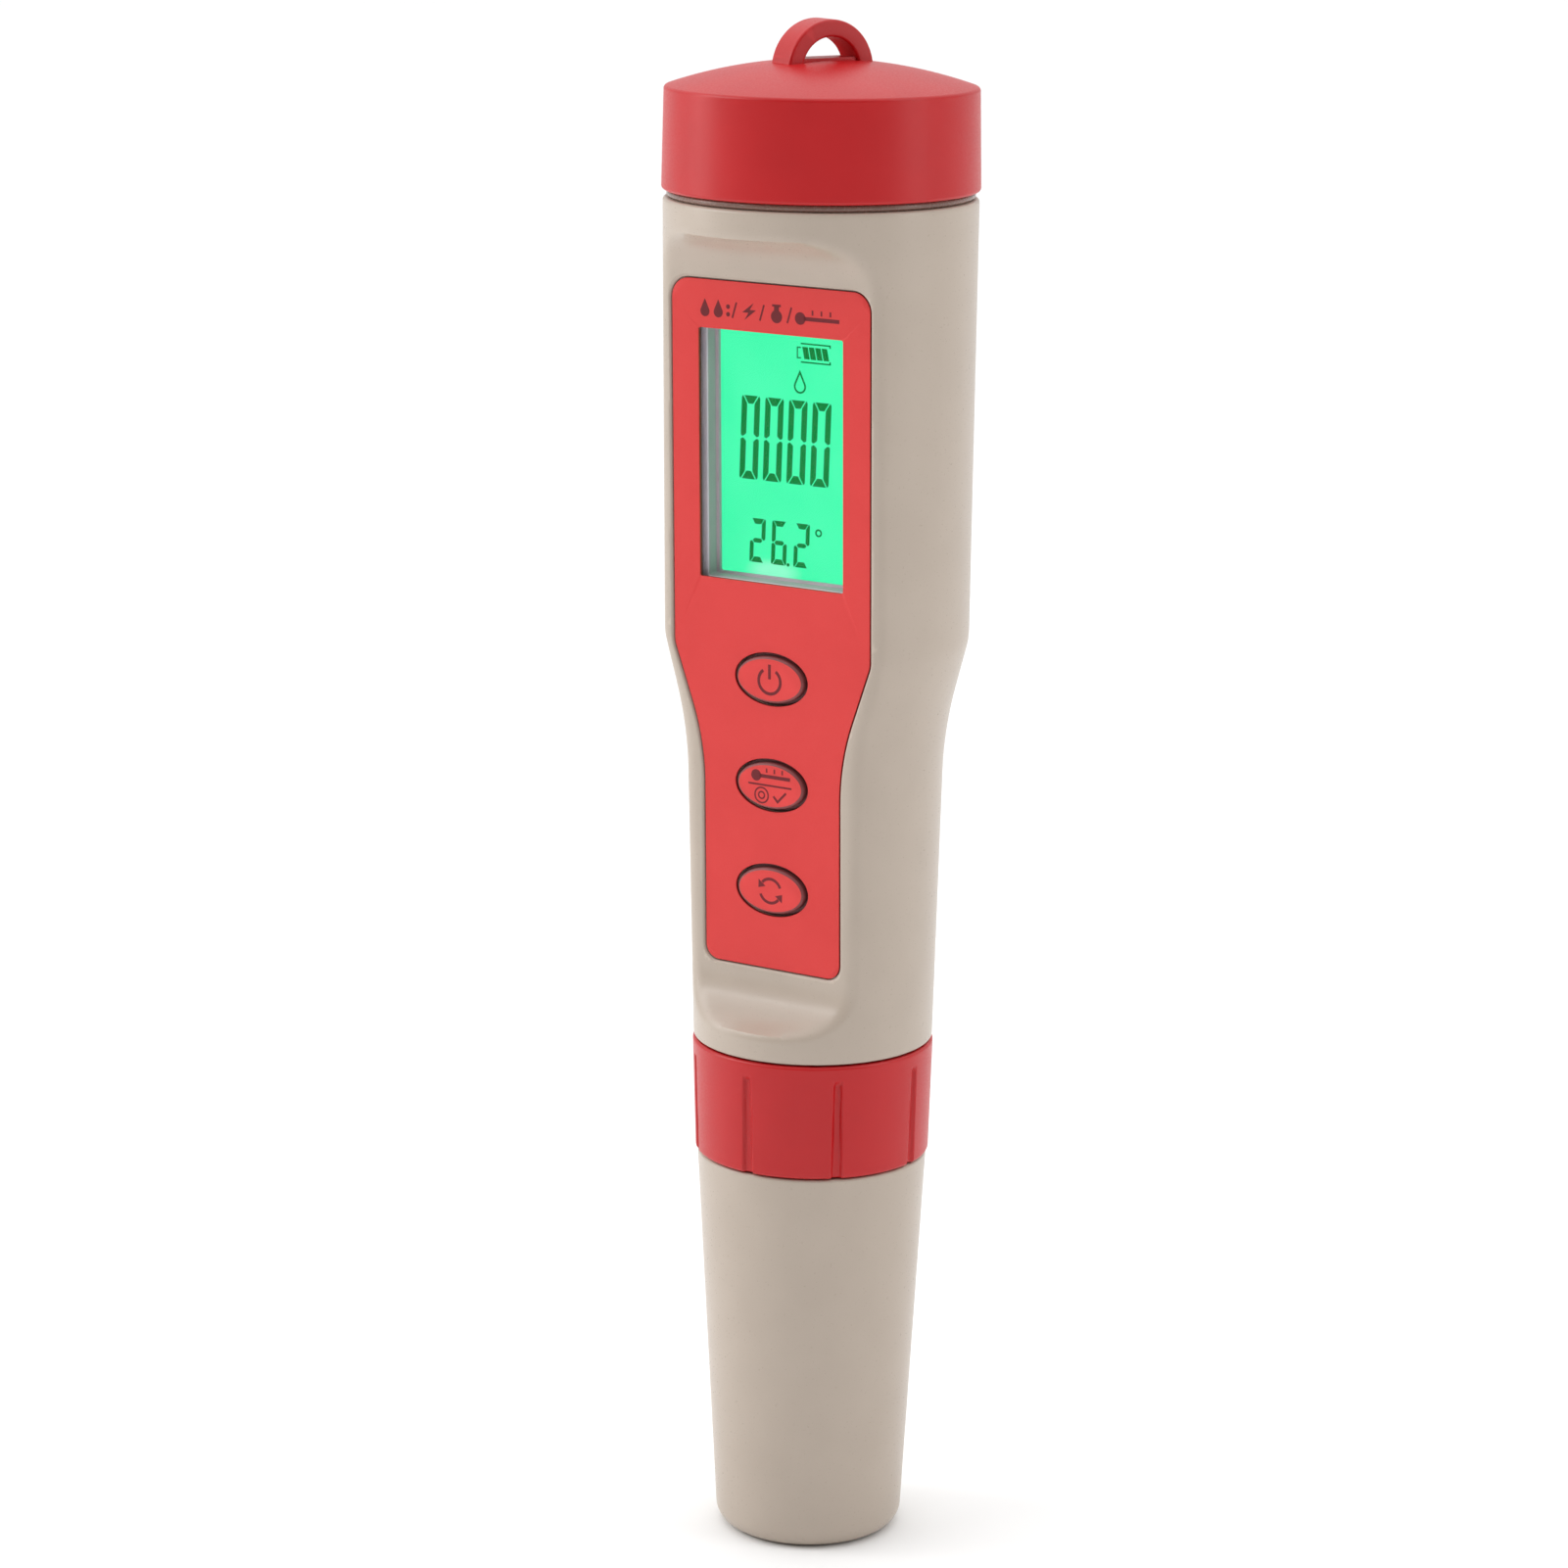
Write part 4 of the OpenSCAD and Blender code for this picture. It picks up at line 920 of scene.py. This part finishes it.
# ------------------------------------------------------------------ battery cap and its seal
def make_battery_cap():
    side_h, rise = 12, 3.25
    crown = BATTERY_CAP_LOW + side_h + rise
    dome_r = (BATTERY_CAP_R ** 2 + rise ** 2) / (2 * rise)
    shell, rim_r, bore_r = 2.2, BATTERY_CAP_R - 0.27, NECK_R + 0.06
    stake_r, rib_w = 1.4, 1.2
    plate_top = span("cap_contact")[1].z + 0.02

    def dome(radius, r):
        """Height at distance r from the axis of a sphere of that radius, centred with the cap's dome."""
        return crown - dome_r + math.sqrt(radius ** 2 - r ** 2)

    inner = dome_r - shell
    outside = [(BATTERY_CAP_R, BATTERY_CAP_LOW, 0.4), (rim_r, dome(dome_r, rim_r), 0.5)]
    outside += [(r, dome(dome_r, r), 0) for r in np.linspace(rim_r - 1.2, 0, 24)]
    stake = [(0, plate_top - 0.6, 0), (stake_r, plate_top - 0.6, 0.2), (stake_r, dome(inner, stake_r), 0.3)]
    ribs = []
    for r in (5.0, 10.8):
        ribs += [(r - rib_w, dome(inner, r - rib_w), 0.3), (r - rib_w, plate_top, 0.2), (r, plate_top, 0.2),
                 (r, dome(inner, r), 0.3)]
    ceiling_r = bore_r - 1.5
    mouth = [(ceiling_r, dome(inner, ceiling_r), 0.4), (bore_r, NECK_HIGH + 0.6, 0.3),
             (bore_r, BATTERY_CAP_LOW, 0.3)]
    profile = rounded(outside + stake + ribs + mouth, steps=5)
    start = next(i for i, (r, z) in enumerate(profile) if r < 1e-6)
    profile = profile[start + 1:] + profile[:start + 1]
    cap = lathe("battery_cap_shell", profile)

    loop_r, band, thick, sunk = 6.0, 2.03, 4.0, 0.12
    centre_z = LOOP_HIGH - loop_r
    facing = math.radians(66)
    section = rectangle(band, thick)
    rings = []
    for turn in np.linspace(-sunk, math.pi + sunk, 60):
        middle = loop_r - band / 2
        points = []
        for out, side in section:
            x, z = (middle + out) * math.cos(turn), (middle + out) * math.sin(turn)
            points.append((x * math.cos(facing) - side * math.sin(facing),
                           x * math.sin(facing) + side * math.cos(facing), centre_z + z))
        rings.append(points)
    centres = [[tuple(np.mean(rings[end], axis=0))] for end in (0, -1)]
    loop = skin("loop", [centres[0]] + rings + [centres[1]])
    combine(cap, loop, "UNION")
    foot = rectangle(2 * loop_r - 2 * band + 0.5, thick - 0.9)
    pad_levels = (crown - 1.2, crown + 0.25)
    pad = [[(x * math.cos(facing) - y * math.sin(facing), x * math.sin(facing) + y * math.cos(facing), z)
            for x, y in foot] for z in pad_levels]
    pad_ends = [[(0, 0, z)] for z in pad_levels]
    combine(cap, skin("pad", [pad_ends[0]] + pad + [pad_ends[1]]), "UNION")
    stand_in(cap, "battery_cap", RED)


def make_gasket():
    inner = NECK_R + 0.06
    section = rounded([(inner, GASKET_LOW, 0.1), (GASKET_R, GASKET_LOW, 0.4), (GASKET_R, GASKET_HIGH, 0.4),
                       (inner, GASKET_HIGH, 0.1)])
    stand_in(lathe("seal_ring", section), "cap_gasket", GASKET)


make_battery_cap()
make_gasket()


# ------------------------------------------------------------------ collar
def make_collar():
    angles = np.linspace(0, TURN, 800, endpoint=False)
    low_r, high_r, lip_r, bore_r, lip_h = 14.45, 14.86, 10.6, SPIGOT_R + 0.06, 3
    grooves, groove_top, depth, side_w, end_h = 8, COLLAR_HIGH - 1.9, 0.42, 0.4, 0.5
    outside = rounded([(lip_r, COLLAR_LOW, 0), (low_r, COLLAR_LOW, 0.4), (high_r, COLLAR_HIGH, 0.4),
                       (bore_r, COLLAR_HIGH, 0)], closed=False)
    lip_top = COLLAR_LOW + lip_h
    inside = rounded([(bore_r, COLLAR_HIGH, 0), (bore_r, lip_top, 0.2), (lip_r, lip_top, 0.2),
                      (lip_r, COLLAR_LOW, 0)], closed=False)
    off_groove = np.abs((angles * grooves / TURN + 0.5) % 1 - 0.5) * TURN / grooves
    rings = []
    for r, z in refine(outside, 0.3):
        floor_half = 0.2 + 0.2 * (COLLAR_HIGH - z) / (COLLAR_HIGH - COLLAR_LOW)
        across = np.clip((off_groove * r - floor_half) / side_w, 0, 1)
        across = across * across * (3 - 2 * across)
        along = min(1.0, max(0.0, (groove_top - z) / end_h))
        cut = depth * (1 - across) * along * (3 - 2 * along) * along * (r > bore_r + 0.4)
        rings.append(ring(r - cut, z, angles))
    rings += [ring(r, z, angles) for r, z in inside[1:-1]]
    stand_in(skin("collar_ring", rings, loop=True), "lock_collar", RED)


make_collar()


# ------------------------------------------------------------------ probe cap, sponge and probe
def make_probe_cap():
    base_r, mouth_r, bore_r, floor_r = 11.52, 14.2, 12.26, 9.6
    bore_end, floor_z = 38, 2.4
    profile = rounded([(0, CAP_FOOT, 0), (base_r, CAP_FOOT, 2.5), (mouth_r, CAP_MOUTH, 0.35),
                       (bore_r, CAP_MOUTH, 0.5), (bore_r, bore_end, 5), (floor_r, floor_z, 1),
                       (0, floor_z, 0)], steps=10)
    stand_in(lathe("probe_cap_shell", profile), "probe_cap", BODY)


def make_sponge():
    low, high = span("storage_sponge")
    profile = rounded([(0, low.z, 0), (high.x, low.z, 1.2), (high.x, high.z, 0.6), (0, high.z, 0)],
                      closed=False)
    sponge = lathe("sponge_disc", refine(profile, 0.35), 120)
    pore, deepest = 0.8, 0.25
    for vertex in sponge.data.vertices:
        height = noise.noise(vertex.co / (pore * MM)) - 0.6
        inwards = Vector((0, 0, (low.z + high.z) / 2 * MM)) - vertex.co
        vertex.co += inwards.normalized() * min(deepest, max(0.0, -0.2 * height)) * MM
    stand_in(sponge, "storage_sponge", FOAM)


make_probe_cap()
make_sponge()

# ------------------------------------------------------------------ finishes of the CAD pieces that stay
KEPT = {
    BLACK: ["power_plunger", "temp_cal_plunger", "mode_plunger", "battery_holder", "probe_socket"],
    STEEL: ["power_switch", "temp_cal_switch", "mode_switch", "clock_crystal", "holder_screws",
            "retaining_ring", "electrode_wire", "temperature_sensor"],
    NICKEL: ["button_cells", "battery_spring", "cap_contact"],
    GOLD: ["battery_strip", "socket_contacts", "probe_pins"],
    CHIP: ["controller_chip", "amplifier_chip"],
    BLACK_RUBBER: ["plug_o_ring", "cap_o_ring"],
    PROBE: ["probe_body"],
    GLASS: ["ph_electrode"],
    CERAMIC: ["reference_junction"],
    GRAPHITE: ["ec_pins"],
    GUIDE: ["backlight_guide"],
    LED: ["backlight_led"],
    ZEBRA: ["zebra_strip"],
    BOARD: ["circuit_board"],
}
for material, names in KEPT.items():
    for name in names:
        for material_slot in nodes[name].material_slots:
            material_slot.material = material
